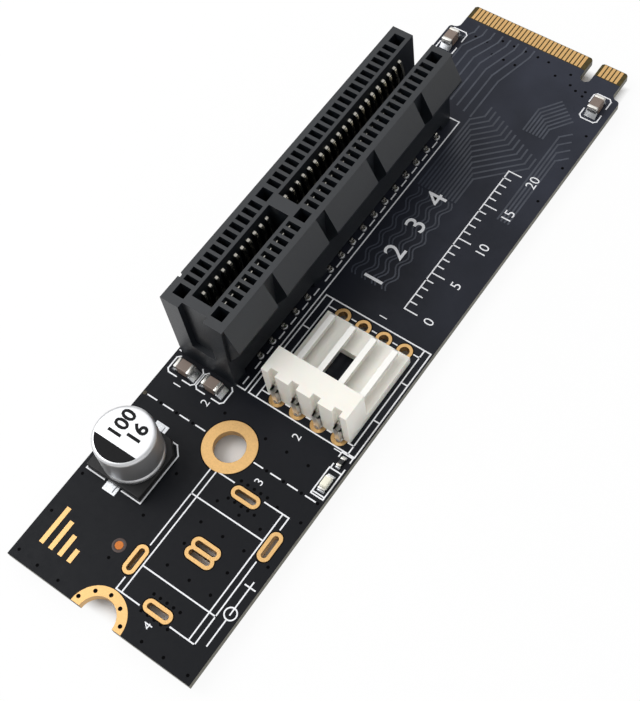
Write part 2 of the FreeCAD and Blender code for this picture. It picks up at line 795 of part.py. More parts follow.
def make_header_housing():
    body = new_body("header_housing")
    block = new_sketch(body, "header_block", z="board_thickness")
    draw_box(block, "header_width", "block_depth", "header_x", "header_rear + block_depth / 2")
    pad(body, block, "header_height", "header_block_pad")
    tongue = new_sketch(body, "tongue", z="board_thickness")
    draw_box(tongue, "header_width", "tongue_length", "header_x", f"{BLOCK_FACE} + tongue_length / 2")
    pad(body, tongue, "tongue_thickness", "tongue_pad")
    window = new_sketch(body, "tongue_window", z="board_thickness + tongue_thickness")
    far = f"{BLOCK_FACE} + tongue_window_far"
    draw_box(
        window, "tongue_window_width", "tongue_window_length",
        "header_x - tongue_window_left + tongue_window_width / 2", f"{far} - tongue_window_length / 2",
    )
    pocket(body, window, "tongue_thickness", "tongue_window_cut")
    notch = new_sketch(body, "rear_notch", z="board_thickness + header_height")
    draw_box(notch, "pin_notch_width", "2 * pin_notch_depth", FIRST_PIN, "header_rear")
    notch_cut = pocket(body, notch, "header_height", "rear_notch_cut")
    seat = new_sketch(body, "pin_seat", "XZ_Plane", z="-(header_rear)")
    draw_box(seat, "pin_size", "pin_size", FIRST_PIN, PIN_Z)
    seat_cut = pocket(body, seat, "block_depth", "pin_seat_cut")
    repeat(body, [notch_cut, seat_cut], "X_Axis", "pin_pitch", "pin_count", "pin_cuts")
    return body


def make_header_pins():
    """Square pins, bent down behind the block and chamfered at the mating end."""
    body = new_body("header_pins")
    half = "pin_size / 2"
    tip = f"{BLOCK_FACE} + pin_reach"
    side = new_sketch(body, "pin_side", "YZ_Plane", z=FIRST_PIN)
    draw_outline(side, [
        (tip, f"{PIN_Z} - {half}"), (tip, f"{PIN_Z} + {half}"), (f"pin_row_y - {half}", f"{PIN_Z} + {half}"),
        (f"pin_row_y - {half}", "-tail_reach"), (f"pin_row_y + {half}", "-tail_reach"),
        (f"pin_row_y + {half}", f"{PIN_Z} - {half}"),
    ])
    bar = pad(body, side, "pin_size", "pin_bar", both=True)
    corner = (None, number(f"pin_row_y - {half}"), number(f"{PIN_Z} + {half}"))
    bent = soften(body, bar, edges_at(bar, [corner], upright=False), "pin_bend", "pin_bend_round")
    doc.recompute()
    ends = []
    for index, edge in enumerate(bent.Shape.Edges, start=1):
        box = edge.BoundBox
        if abs(box.YMin - number(tip)) < SAME and box.YLength < SAME:
            ends.append(f"Edge{index}")
    soften(body, bent, ends, "pin_tip", "pin_tip_chamfer", "Chamfer")
    doc.recompute()
    row = repeat(body, [], "X_Axis", "pin_pitch", "pin_count", "pin_row")
    row.TransformMode = "Whole shape"
    return body


def make_header_solder():
    """Cone of solder round each pin under the board, and the fill in its plated hole."""
    body = new_body("header_solder")
    fill = new_sketch(body, "header_fill", z="board_thickness")
    draw_polygon(fill, "pin_hole_sides", "pin_hole", FIRST_PIN, "pin_row_y")
    core = pad(body, fill, "board_thickness + copper_thickness", "header_fill_pad", down=True)
    foot = new_sketch(body, "header_joint", z="-copper_thickness")
    draw_polygon(foot, "pin_hole_sides", "pin_joint", FIRST_PIN, "pin_row_y")
    joint = pad(body, foot, "tail_reach - copper_thickness", "header_joint_pad", down=True)
    tie(joint, "TaperAngle", "-pin_joint_taper")
    bore = new_sketch(body, "header_joint_bore", z="board_thickness")
    draw_box(bore, "pin_size", "pin_size", FIRST_PIN, "pin_row_y")
    cut = pocket(body, bore, "board_thickness + tail_reach", "header_joint_bore_cut")
    repeat(body, [core, joint, cut], "X_Axis", "pin_pitch", "pin_count", "header_joint_row")
    return body


# ---------------------------------------------------------------- electrolytic capacitor

def make_capacitor_can():
    """Drawn aluminium can with a crimp groove above its bead."""
    body = new_body("capacitor_can")
    sketch = new_sketch(body, "can_section", "XZ_Plane", x="can_x", z="-(can_y)")
    radius = "can_diameter / 2"
    low, top = "board_thickness + can_seat", "board_thickness + can_height"
    groove = f"{low} + bead_height"
    draw_outline(sketch, [
        ("0", low), (f"{radius} - groove_depth", low), (radius, f"{low} + groove_depth"), (radius, groove),
        (f"{radius} - groove_depth", f"{groove} + groove_height / 2"), (radius, f"{groove} + groove_height"),
        (radius, f"{top} - can_edge"),
        (f"{radius} - can_edge_ease * can_edge", f"{top} - can_edge_ease * can_edge"),
        (f"{radius} - can_edge", top), ("0", top),
    ])
    revolve(body, sketch, "can_turn")
    return body


def make_capacitor_base():
    """Square moulded base, two corners cut back to mark the positive side, cupped for the can."""
    body = new_body("capacitor_base")
    sketch = new_sketch(body, "base_outline", z="board_thickness + tab_thickness")
    half, cut, small = "base_size / 2", "base_corner", "base_round"
    corners = [
        (f"-{half} + {small}", f"-{half}"), (f"{half} - {small}", f"-{half}"), (half, f"-{half} + {small}"),
        (half, f"{half} - {cut}"), (f"{half} - {cut}", half), (f"-{half} + {cut}", half),
        (f"-{half}", f"{half} - {cut}"), (f"-{half}", f"-{half} + {small}"),
    ]
    draw_outline(sketch, [(f"can_x + ({x})", f"can_y + ({y})") for x, y in corners])
    pad(body, sketch, "base_height - tab_thickness", "base_pad")
    cup = new_sketch(body, "base_cup", z="board_thickness + base_height")
    draw_circle(cup, "can_diameter", "can_x", "can_y")
    pocket(body, cup, "base_height - can_seat", "base_cup_cut")
    return body


def make_capacitor_terminals():
    """Flat tabs that run out from under the base, each on its solder land."""
    body = new_body("capacitor_terminals")
    for side in (-1, 1):
        label = "near" if side < 0 else "far"
        sketch = new_sketch(body, f"{label}_tab", z="board_thickness")
        inner, outer = f"can_y + {side} * tab_inner", f"can_y + {side} * tab_reach"
        land = f"can_y + {side} * (tab_reach - tab_land_length)"
        half, wide = "tab_width / 2", "tab_land_width / 2"
        draw_outline(sketch, [
            (f"can_x - {half}", inner), (f"can_x + {half}", inner), (f"can_x + {half}", land),
            (f"can_x + {wide}", land), (f"can_x + {wide}", outer), (f"can_x - {wide}", outer),
            (f"can_x - {wide}", land), (f"can_x - {half}", land),
        ])
        pad(body, sketch, "tab_thickness", f"{label}_tab_pad")
    return body


# ---------------------------------------------------------------- chip parts

CHIPS = [
    ("near_chip_x", "near_chip_y", "x"), ("near_chip_x + near_chip_spacing", "near_chip_y", "x"),
    ("left_chip_x", "neck_chip_y", "y"), ("right_chip_x", "neck_chip_y", "y"),
]


def laid(along, x, y):
    """Swaps a part's own length and width axes where it lies along the card."""
    return (x, y) if along == "x" else (y, x)


def chip_boxes(body, label, chips, length, width, height, lift, offset="0"):
    """Boxes for a run of chip parts, each shifted along its own length to both sides."""
    features = []
    shifts = ("0",) if offset == "0" else (offset, f"-({offset})")
    for index, (x, y, along) in enumerate(chips):
        for turn, shift in enumerate(shifts):
            sketch = new_sketch(body, f"{label}_{index}_{turn}", z=f"board_thickness + {lift}")
            step_x, step_y = laid(along, shift, "0")
            draw_box(sketch, *laid(along, length, width), f"{x} + ({step_x})", f"{y} + ({step_y})")
            features.append(pad(body, sketch, height, f"{label}_{index}_{turn}_pad"))
    return features


def make_chip_bodies():
    body = new_body("chip_capacitor_bodies")
    wall = "chip_cap_wall"
    chip_boxes(
        body, "chip", CHIPS, f"chip_length - 2 * {wall}", f"chip_width - 2 * {wall}",
        f"chip_height - 2 * {wall}", "chip_gap + chip_cap_wall",
    )
    return body


def make_chip_caps():
    """Silvered end caps that wrap all four long faces and the end of each body."""
    body = new_body("chip_capacitor_caps")
    offset = "(chip_length - chip_cap) / 2"
    chip_boxes(body, "cap", CHIPS, "chip_cap", "chip_width", "chip_height", "chip_gap", offset)
    wall = "chip_cap_wall"
    for index, (x, y, along) in enumerate(CHIPS):
        sketch = new_sketch(body, f"cap_hollow_{index}", z=f"board_thickness + chip_gap + {wall}")
        size = laid(along, f"chip_length - 2 * {wall}", f"chip_width - 2 * {wall}")
        draw_box(sketch, *size, x, y)
        pocket(body, sketch, f"chip_height - 2 * {wall}", f"cap_hollow_cut_{index}", up=True)
    return body


def wedge(body, label, x, y, along, side, reach, face, width, height):
    """A solder fillet that climbs one end face of a chip part."""
    plane = "XZ_Plane" if along == "x" else "YZ_Plane"
    middle = f"-({y})" if along == "x" else x
    centre = x if along == "x" else y
    sketch = new_sketch(body, label, plane, z=middle)
    foot, top = "board_thickness", f"board_thickness + {height}"
    hollow = f"fillet_hollow_run * {reach}"
    draw_outline(sketch, [
        (f"{centre} + {side} * ({face})", foot), (f"{centre} + {side} * ({face} + {reach})", foot),
        (f"{centre} + {side} * ({face} + {hollow})", f"{foot} + fillet_hollow_rise * {height}"),
        (f"{centre} + {side} * ({face})", top),
    ])
    pad(body, sketch, width, label + "_pad", both=True)


def make_chip_solder():
    body = new_body("chip_solder")
    for index, (x, y, along) in enumerate(CHIPS):
        for side in (-1, 1):
            label = f"chip_fillet_{index}_{'low' if side < 0 else 'high'}"
            reach, height = "chip_length / 2", "chip_height * chip_fillet_rise"
            wedge(body, label, x, y, along, side, "chip_fillet", reach, "chip_width", height)
    return body


LAMP = [("small_part_x", "lamp_y", "y")]
RESISTOR = [("small_part_x", "resistor_y", "y")]


def make_lamp_base():
    body = new_body("led_base")
    chip_boxes(body, "lamp", LAMP, "lamp_length - 2 * end_metal", "lamp_width", "lamp_base_height", "0")
    return body


def make_lamp_lens():
    body = new_body("led_lens")
    chip_boxes(body, "lens", LAMP, "lens_length", "lamp_width", "lens_height", "lamp_base_height")
    tie(body.Tip, "TaperAngle", "-lens_draft")
    return body


def make_lamp_terminals():
    body = new_body("led_terminals")
    offset = "(lamp_length - end_metal) / 2"
    chip_boxes(body, "lamp_end", LAMP, "end_metal", "lamp_width", "lamp_base_height", "0", offset)
    return body


def make_resistor_body():
    body = new_body("resistor_body")
    length = "resistor_length - 2 * end_metal"
    chip_boxes(body, "resistor", RESISTOR, length, "resistor_width", "resistor_height", "0")
    return body


def make_resistor_terminals():
    body = new_body("resistor_terminals")
    offset = "(resistor_length - end_metal) / 2"
    size = ("end_metal", "resistor_width", "resistor_height + end_metal_wall")
    chip_boxes(body, "resistor_end", RESISTOR, *size, "0", offset)
    return body


def make_small_part_solder():
    body = new_body("small_part_solder")
    for part, y, length, width, height in (
        ("lamp", "lamp_y", "lamp_length", "lamp_width", "lamp_base_height"),
        ("resistor", "resistor_y", "resistor_length", "resistor_width", "resistor_height"),
    ):
        for side in (-1, 1):
            label = f"{part}_fillet_{'low' if side < 0 else 'high'}"
            wedge(body, label, "small_part_x", y, "y", side, "small_fillet", f"{length} / 2", width, height)
    return body


# ---------------------------------------------------------------- build and write

bodies = [
    make_board(),
    make_fingers("top_fingers", underside=False),
    make_fingers("bottom_fingers", underside=True),
    make_mount_ring(),
    make_end_ring(),
    make_jack_plating("jack_slot_plating", JACK_SINGLES),
    make_jack_plating("jack_pair_plating", JACK_PAIR),
    make_hole_plating("front_hole_plating", "empty_row_y"),
    make_hole_plating("rear_hole_plating", "pin_row_y"),
    make_fiducial(),
    make_slot_housing(),
    make_slot_contacts("slot_contacts_left", -1),
    make_slot_contacts("slot_contacts_right", 1),
    make_slot_solder(),
    make_header_housing(),
    make_header_pins(),
    make_header_solder(),
    make_capacitor_can(),
    make_capacitor_base(),
    make_capacitor_terminals(),
    make_chip_bodies(),
    make_chip_caps(),
    make_chip_solder(),
    make_lamp_base(),
    make_lamp_lens(),
    make_lamp_terminals(),
    make_resistor_body(),
    make_resistor_terminals(),
    make_small_part_solder(),
]
doc.recompute()

# The last feature of each body merges the flush faces that the earlier ones leave.
for body in bodies:
    if body.Tip.Name != "pin_row":
        body.Tip.Refine = True
doc.recompute()

faults = [item.Name for item in doc.Objects if "Invalid" in item.State or "Error" in item.State]
faults += [body.Label for body in bodies if body.Shape.isNull() or not body.Shape.isValid()]
if faults:
    sys.exit("these could not be built: " + ", ".join(faults))

os.makedirs("parts", exist_ok=True)
for body in bodies:
    body.Shape.exportStep(f"parts/{body.Label}.step")
    print(body.Label, len(body.Shape.Solids), round(body.Shape.Volume, 3))
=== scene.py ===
import math
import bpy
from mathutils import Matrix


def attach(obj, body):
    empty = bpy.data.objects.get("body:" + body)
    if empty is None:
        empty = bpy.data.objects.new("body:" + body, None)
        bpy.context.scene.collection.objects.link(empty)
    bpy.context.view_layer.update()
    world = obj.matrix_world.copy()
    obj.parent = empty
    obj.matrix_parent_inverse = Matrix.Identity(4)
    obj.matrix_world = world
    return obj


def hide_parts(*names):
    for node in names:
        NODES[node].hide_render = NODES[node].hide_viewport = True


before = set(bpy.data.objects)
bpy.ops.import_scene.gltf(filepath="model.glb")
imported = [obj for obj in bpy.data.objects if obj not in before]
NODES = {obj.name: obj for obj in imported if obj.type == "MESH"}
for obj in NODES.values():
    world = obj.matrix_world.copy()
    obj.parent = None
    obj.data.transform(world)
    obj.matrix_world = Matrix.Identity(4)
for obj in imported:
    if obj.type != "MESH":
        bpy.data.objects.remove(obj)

from types import SimpleNamespace

import bpy
from mathutils import Matrix, Vector

bl_info = {
    "name": "Card slot adapter board",
    "version": (1, 0, 0),
    "blender": (4, 5, 0),
    "location": "View3D > Sidebar > Adapter",
    "description": "Dresses a gold-fingered adapter card with its slot, header, capacitor and printed lines",
    "category": "Object",
}

# Pieces are modelled in millimetres, in the card's own axes: X across the card, Y along it towards
# the gold fingers, Z out of the component side. A piece is brought to metres when it is finished.
MM = 0.001
BODY = "root"
TURN = 2 * math.pi
# Two faces that bend by more than this, in degrees, keep a sharp edge between them.
SHARP = 35.0


# ---------------------------------------------------------------- sizes and colours a user may change

def length(label, about, millimetres):
    """A length property, kept in metres and given here in millimetres."""
    return bpy.props.FloatProperty(
        name=label, description=about, default=millimetres * MM,
        soft_min=-0.1, soft_max=0.1, precision=5, subtype="DISTANCE", unit="LENGTH",
    )


def to_linear(code):
    """An sRGB hex colour as linear red, green, blue and alpha."""
    channels = [int(code[index:index + 2], 16) / 255 for index in (1, 3, 5)]
    return [c / 12.92 if c <= 0.04045 else ((c + 0.055) / 1.055) ** 2.4 for c in channels] + [1.0]


def colour(label, about, code):
    """A colour property, given as an sRGB hex value."""
    return bpy.props.FloatVectorProperty(
        name=label, description=about, default=to_linear(code), size=4, min=0.0, max=1.0, subtype="COLOR",
    )


class CardSizes(bpy.types.PropertyGroup):
    """Sizes of the dressed card"""
    board_top: length("Board thickness", "Height of the component side over the underside", 0.8)
    copper: length("Copper thickness", "Height of lands and plated rings over the laminate", 0.04)
    ink: length("Print thickness", "Height of the printed white lines over the board", 0.02)
    line: length("Printed line", "Width of a printed white line", 0.14)
    screw_y: length("Screw hole place", "Distance of the screw hole along the card", -60.0)
    screw_bore: length("Screw hole", "Diameter of the plated screw hole", 3.35)
    screw_ring: length("Screw land", "Diameter of the gold land round the screw hole", 5.6)
    end_y: length("Notched end", "Place of the notched end along the card", -80.0)
    notch_bore: length("End notch", "Diameter of the half-round notch", 4.0)
    notch_ring: length("End land", "Diameter of the gold land round the end notch", 6.0)
    jack_slot: length("Jack slot length", "Length of a plated slot for a jack's tab", 2.4)
    jack_width: length("Jack slot width", "Width of a plated slot for a jack's tab", 0.58)
    jack_land: length("Jack slot land", "Width of the gold land round a plated slot", 0.4)
    pin_hole: length("Pin hole", "Diameter of a plated header hole", 1.0)
    pin_land: length("Pin land", "Width of the gold land round a header hole", 0.36)
    fiducial: length("Aiming dot", "Diameter of the bare copper aiming dot", 0.85)
    slot_x: length("Card slot place", "Place of the card slot's middle across the card", -6.67)
    slot_top: length("Card slot top", "Height of the card slot's top", 12.0)
    first_contact: length("First contact", "Place of the slot's first contact along the card", -51.47)
    slot_edge: length("Card slot edge rounding", "Width of the rounding on the slot's moulded edges", 0.06)
    slot_wall_set: length("Card slot wall set back", "How far the wall under the lugs stands back", 0.5)
    contact: length("Contact width", "Width of a spring contact along the slot", 0.38)
    contact_thick: length("Contact thickness", "Thickness of a spring contact's metal", 0.18)
    header_x: length("Header place", "Place of the header's middle across the card", 4.6)
    header_rear: length("Header rear", "Place of the header's rear face along the card", -53.35)
    header_edge: length("Header edge rounding", "Width of the rounding on the header's edges", 0.12)
    pin: length("Pin size", "Width of a square header pin", 0.64)
    can_x: length("Can place across", "Place of the capacitor's middle across the card", -6.93)
    can_y: length("Can place along", "Place of the capacitor's middle along the card", -65.9)
    can_width: length("Can diameter", "Diameter of the capacitor's can", 6.3)
    can_top: length("Can top", "Height of the can's flat top", 6.2)
    chip_length: length("Chip length", "Length of a chip capacitor", 2.0)
    chip_width: length("Chip width", "Width of a chip capacitor", 1.25)
    chip_height: length("Chip height", "Height of a chip capacitor", 1.25)
    lamp_x: length("Lamp place across", "Place of the lamp's middle across the card", 10.0)
    lamp_y: length("Lamp place along", "Place of the lamp's middle along the card", -57.95)
    resistor_y: length("Resistor place", "Place of the resistor's middle along the card", -55.45)


class CardColours(bpy.types.PropertyGroup):
    """Colours of the dressed card"""
    mask: colour("Solder mask", "Near-black lacquer over the laminate", "#0e1015")
    # This lighter lacquer is partly copper pour under the lacquer and partly a painted reflection: the board
    # shades into it towards the fingers.
    mask_pour_and_sheen: colour("Mask over copper", "Lacquer where copper lies under it", "#2f323d")
    mask_track: colour("Mask over a track", "Lacquer raised over a copper track", "#3f4450")
    laminate: colour("Bare laminate", "Glass cloth and resin where no lacquer covers it", "#4c4222")
    laminate_edge: colour("Cut laminate", "The routed edge of the board", "#6d6a5c")
    ink: colour("Printed lines", "White ink on the lacquer", "#f2f3f6")
    gold: colour("Gold", "Thin gold over nickel", "#d2aa72")
    copper: colour("Bare copper", "The aiming dot's copper", "#b06a38")
    slot: colour("Slot plastic", "Black glass-filled plastic of the card slot", "#10151b")
    contact: colour("Contact metal", "Gold-flashed copper alloy in the slot", "#ece8dc")
    solder: colour("Solder", "Tin alloy joints", "#c4c6c9")
    nylon: colour("Header plastic", "Ivory nylon of the header", "#f6f3ea")
    tin: colour("Plated ends", "Tin on the ends of the chips", "#d8d6d0")
    pin: colour("Pins", "Tinned brass pins", "#efeeea")
    can: colour("Can", "Drawn aluminium can", "#e2e3e5")
    can_print: colour("Can print", "Black ink on the can's top", "#0e0e10")
    base: colour("Capacitor base", "Black plastic base under the can", "#161617")
    ceramic: colour("Chip ceramic", "Fired ceramic of the chip capacitors", "#7f6d61")
    lamp: colour("Lamp", "Clear resin over the lamp's chip", "#f2efdc")
    lamp_base: colour("Lamp base", "White resin plate under the lamp", "#dfe3da")
    resistor: colour("Resistor", "Black overglaze on the resistor", "#121214")
    plug: colour("Hole plug", "Resin in the small plugged holes", "#030304")
    stain: colour("Stain", "Browned lacquer round the aiming dot", "#3a2117")


def sizes():
    """All sizes in millimetres."""
    group = bpy.context.scene.card_sizes
    return SimpleNamespace(**{name: getattr(group, name) / MM for name in CardSizes.__annotations__})


# ---------------------------------------------------------------- modelling helpers

def edit_mode():
    bpy.ops.object.mode_set(mode="EDIT")


def object_mode():
    bpy.ops.object.mode_set(mode="OBJECT")


def clear():
    """Leaves edit mode with nothing selected."""
    active = bpy.context.object
    if active and active.mode != "OBJECT":
        object_mode()
    bpy.ops.object.select_all(action="DESELECT")


def hold(*pieces):
    """Selects these pieces alone and makes the first the active one."""
    clear()
    for piece in pieces:
        piece.select_set(True)
    bpy.context.view_layer.objects.active = pieces[0]


def call(name):
    """Names the piece just added."""
    piece = bpy.context.object
    piece.name = piece.data.name = name
    return piece


def settle():
    """Applies the active piece's place, turn and size to its mesh."""
    bpy.ops.object.transform_apply(location=True, rotation=True, scale=True)


def pick(piece, kind, test):
    """Selects, in edit mode, the vertices, edges or faces that pass a test."""
    edit_mode()
    bpy.ops.mesh.select_mode(type=kind)
    bpy.ops.mesh.select_all(action="DESELECT")
    object_mode()
    mesh = piece.data
    for part in {"VERT": mesh.vertices, "EDGE": mesh.edges, "FACE": mesh.polygons}[kind]:
        part.select = test(part)
    edit_mode()


def pick_all(kind="VERT"):
    """Selects the whole of the active piece's mesh, in edit mode."""
    edit_mode()
    bpy.ops.mesh.select_mode(type=kind)
    bpy.ops.mesh.select_all(action="SELECT")


def ends_of(piece, edge):
    return [piece.data.vertices[index].co for index in edge.vertices]


def faces_up(face):
    return face.normal.z > 0.5


def extrude(step):
    """Draws what is selected out by a step."""
    bpy.ops.mesh.extrude_region_move(TRANSFORM_OT_translate={"value": step})


def extrude_through(points):
    """Draws what is selected from the first point through the others."""
    for before, after in zip(points, points[1:]):
        extrude(Vector(after) - Vector(before))


def close(piece, merge=0.0005):
    """Merges doubled points, turns the faces outwards and goes back to object mode."""
    pick_all()
    bpy.ops.mesh.remove_doubles(threshold=merge)
    bpy.ops.mesh.normals_make_consistent(inside=False)
    object_mode()
    return piece


def block(name, centre, size, heights, edge=0.0, steps=2):
    """A block round a centre, so wide and so long, between two heights, with rounded edges."""
    clear()
    low, high = heights
    bpy.ops.mesh.primitive_cube_add(size=1, location=(*centre, (low + high) / 2), scale=(*size, high - low))
    piece = call(name)
    settle()
    if edge:
        pick_all("EDGE")
        bpy.ops.mesh.bevel(offset=edge, segments=steps, profile=0.5)
        object_mode()
    return piece


def bar(name, x, wide, ends, heights, edge=0.0, steps=2):
    """A block laid along Y between two ends, given in either order."""
    return block(name, (x, sum(ends) / 2), (wide, abs(ends[1] - ends[0])), heights, edge, steps)


def turned(name, profile, centre=(0.0, 0.0), steps=32, offset=0.0):
    """A turned shape: the profile, as radius and height, spun round an upright axis."""
    points = [
        (centre[0] + radius * math.cos(offset), centre[1] + radius * math.sin(offset), height)
        for radius, height in profile
    ]
    clear()
    bpy.ops.mesh.primitive_plane_add(size=0.001, location=points[0])
    piece = call(name)
    settle()
    pick_all()
    bpy.ops.mesh.merge(type="CENTER")
    extrude_through(points)
    pick_all()
    bpy.ops.mesh.spin(steps=steps, angle=TURN, center=(*centre, 0.0), axis=(0.0, 0.0, 1.0))
    return close(piece)


def ring_profile(inner, outer, top, copper, wall=0.05):
    """Profile of a plated hole: a barrel with a land above and below, closed on itself."""
    edge = 0.02
    over, under = top + copper, -copper
    return [
        (inner, under + edge), (inner + edge, under), (outer - edge, under), (outer, under + edge),
        (outer, 0.0), (inner + wall, 0.0), (inner + wall, top), (outer, top),
        (outer, over - edge), (outer - edge, over), (inner + edge, over), (inner, over - edge),
        (inner, under + edge),
    ]


def gap_profile(radius, top):
    """Profile of the narrow dark gap that the lacquer leaves round a land."""
    return [(radius - 0.02, top), (radius, top + 0.006), (radius + 0.08, top + 0.004), (radius + 0.1, top)]


def lift(piece, height):
    """Raises a piece by a height."""
    piece.data.transform(Matrix.Translation((0.0, 0.0, height)))
    return piece


def stretch(piece, along, reach, about):
    """Pulls the two halves of a turned piece apart along an axis, which makes a slot of a ring."""
    for side in (-1, 1):
        pick(piece, "VERT", lambda point: (point.co[along] - about) * side > 0)
        bpy.ops.transform.translate(value=[side * reach / 2 if axis == along else 0.0 for axis in range(3)])
    object_mode()
    return piece


def twin(name, mesh, change):
    """A new piece with its own, changed copy of a mesh."""
    piece = bpy.data.objects.new(name, mesh.copy())
    bpy.context.scene.collection.objects.link(piece)
    piece.data.transform(change)
    return piece


def join(name, parts):
    """Joins pieces into one mesh."""
    hold(*parts)
    if len(parts) > 1:
        bpy.ops.object.join()
    return call(name)


def copies(piece, places):
    """The piece once at every place given across and along, all joined in one mesh."""
    name = piece.name
    made = [twin(name, piece.data, Matrix.Translation((*place, 0.0))) for place in places]
    bpy.data.objects.remove(piece)
    return join(name, made)


def modify(piece, kind, **settings):
    """Adds a modifier and applies it."""
    hold(piece)
    tool = piece.modifiers.new(kind.lower(), kind)
    for key, value in settings.items():
        setattr(tool, key, value)
    bpy.ops.object.modifier_apply(modifier=tool.name)
    return piece


def round_edges(piece, width, segments, angle):
    """Rounds the edges that bend by more than an angle in degrees."""
    limit = {"limit_method": "ANGLE", "angle_limit": math.radians(angle)}
    return modify(piece, "BEVEL", width=width, segments=segments, **limit)


def rounded_copy(name, source, edge, steps=2, shaped=None):
    """A copy of a moulded node, its triangles merged to faces, shaped further and its edges rounded."""
    piece = twin(name, NODES[source].data, Matrix.Scale(1 / MM, 4))
    hold(piece)
    pick_all()
    bpy.ops.mesh.remove_doubles(threshold=0.001)
    bpy.ops.mesh.dissolve_limited(angle_limit=math.radians(1))
    object_mode()
    if shaped:
        shaped(piece)
    return round_edges(piece, edge, steps, SHARP)


def finish(piece, kind, *replaced, smooth=SHARP):
    """Brings a piece to metres, gives it its finish and hangs it on the card in place of some nodes."""
    piece.data.transform(Matrix.Scale(MM, 4))
    piece.data.update()
    hold(piece)
    if smooth:
        bpy.ops.object.shade_smooth_by_angle(angle=math.radians(smooth))
        modify(piece, "WEIGHTED_NORMAL", keep_sharp=True)
    piece.data.materials.clear()
    piece.data.materials.append(made_of(kind))
    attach(piece, BODY)
    if replaced:
        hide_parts(*replaced)


def dress(name, kind):
    """Gives a carried-over node its finish."""
    slots = NODES[name].data.materials
    slots.clear()
    slots.append(made_of(kind))


def strips_of(chains, width):
    """The straight strips, all of one width, that draw chains of points."""
    return [(start, end, width) for chain in chains for start, end in zip(chain, chain[1:])]


def strip_sheet(name, strips, height, thickness):
    """Flat strips laid on the board, each from one point to another with a width.

    Neighbours differ a hair in height, so that strips that cross never share a face.
    """
    hair, levels = 0.0008, 5
    laid = []
    for index, (start, end, width) in enumerate(strips):
        clear()
        run = Vector(end) - Vector(start)
        middle = [(a + b) / 2 for a, b in zip(start, end)] + [height + hair * (index % levels)]
        turn = (0.0, 0.0, math.atan2(run.y, run.x))
        bpy.ops.mesh.primitive_plane_add(size=1, location=middle, rotation=turn)
        bpy.ops.transform.resize(value=(run.length + width, width, 1.0), orient_type="LOCAL")
        laid.append(bpy.context.object)
    piece = join(name, laid)
    settle()
    pick_all("FACE")
    extrude((0.0, 0.0, thickness))
    pick_all()
    bpy.ops.mesh.normals_make_consistent(inside=False)
    object_mode()
    return piece


def numerals(name, text, size, place, height, thickness, bolder=0.0):
    """Plain numerals, made a mesh and laid flat, reading along the card."""
    clear()
    bpy.ops.object.text_add()
    letters = bpy.context.object.data
    letters.body = text
    letters.size = size
    letters.align_x = letters.align_y = "CENTER"
    letters.offset = bolder
    letters.resolution_u = 3
    letters.extrude = thickness / 2
    bpy.ops.object.convert(target="MESH")
    piece = call(name)
    laid = Matrix.Translation((*place, height + thickness / 2)) @ Matrix.Rotation(TURN / 4, 4, "Z")
    piece.data.transform(laid)
    return close(piece)


# ---------------------------------------------------------------- materials

def node(tree, kind, values=(), **settings):
    """Adds a node with its settings. Values fill its inputs: a link from an output, or a plain value."""
    made = tree.nodes.new(kind)
    for key, value in settings.items():
        setattr(made, key, value)
    for key, value in dict(values).items():
        if isinstance(value, bpy.types.NodeSocket):
            tree.links.new(value, made.inputs[key])
        else:
            made.inputs[key].default_value = value
    return made


def tint(name):
    """One of the card's colours, as linear values."""
    return list(getattr(bpy.context.scene.card_colours, name))


def shift(value, factor):
    """A colour made darker or lighter by a factor."""
    return [channel * factor for channel in value[:3]] + [1.0]


def material(name, **constants):
    """A material with one shader; constants go straight onto the shader's own inputs."""
    made = bpy.data.materials.new(name)
    made.use_nodes = True
    tree = made.node_tree
    shader = tree.nodes["Principled BSDF"]
    for key, value in constants.items():
        shader.inputs[key.replace("_", " ")].default_value = value
    place = node(tree, "ShaderNodeTexCoord").outputs["Object"]
    return made, tree, shader, place


def grain(tree, place, millimetres, detail=3.0, rough=0.55, stretch_by=(1.0, 1.0, 1.0)):
    """Cloudy noise whose grains are about the given size."""
    spot = node(tree, "ShaderNodeMapping", {"Vector": place, "Scale": stretch_by}).outputs["Vector"]
    values = {"Vector": spot, "Scale": 1 / (millimetres * MM), "Detail": detail, "Roughness": rough}
    return node(tree, "ShaderNodeTexNoise", values).outputs["Fac"]


def blend(tree, factor, first, second):
    """One colour mixed into another."""
    mixed = node(tree, "ShaderNodeMix", data_type="RGBA")
    for key, value in ((0, factor), (6, first), (7, second)):
        if isinstance(value, bpy.types.NodeSocket):
            tree.links.new(value, mixed.inputs[key])
        else:
            mixed.inputs[key].default_value = value
    return mixed.outputs[2]


def spread(tree, value, low, high, start=0.3, end=0.7):
    """A value brought from one range to another."""
    values = {"Value": value, "From Min": start, "From Max": end, "To Min": low, "To Max": high}
    return node(tree, "ShaderNodeMapRange", values).outputs["Result"]


def relief(tree, shader, height, millimetres):
    """Gives the shader a surface that stands up and down by a height."""
    bump = node(tree, "ShaderNodeBump", {"Height": height, "Distance": millimetres * MM})
    tree.links.new(bump.outputs["Normal"], shader.inputs["Normal"])


def calculate(tree, operation, *values):
    """One step of arithmetic on links and plain values."""
    return node(tree, "ShaderNodeMath", dict(enumerate(values)), operation=operation).outputs[0]


def link(tree, output, shader, name):
    tree.links.new(output, shader.inputs[name])


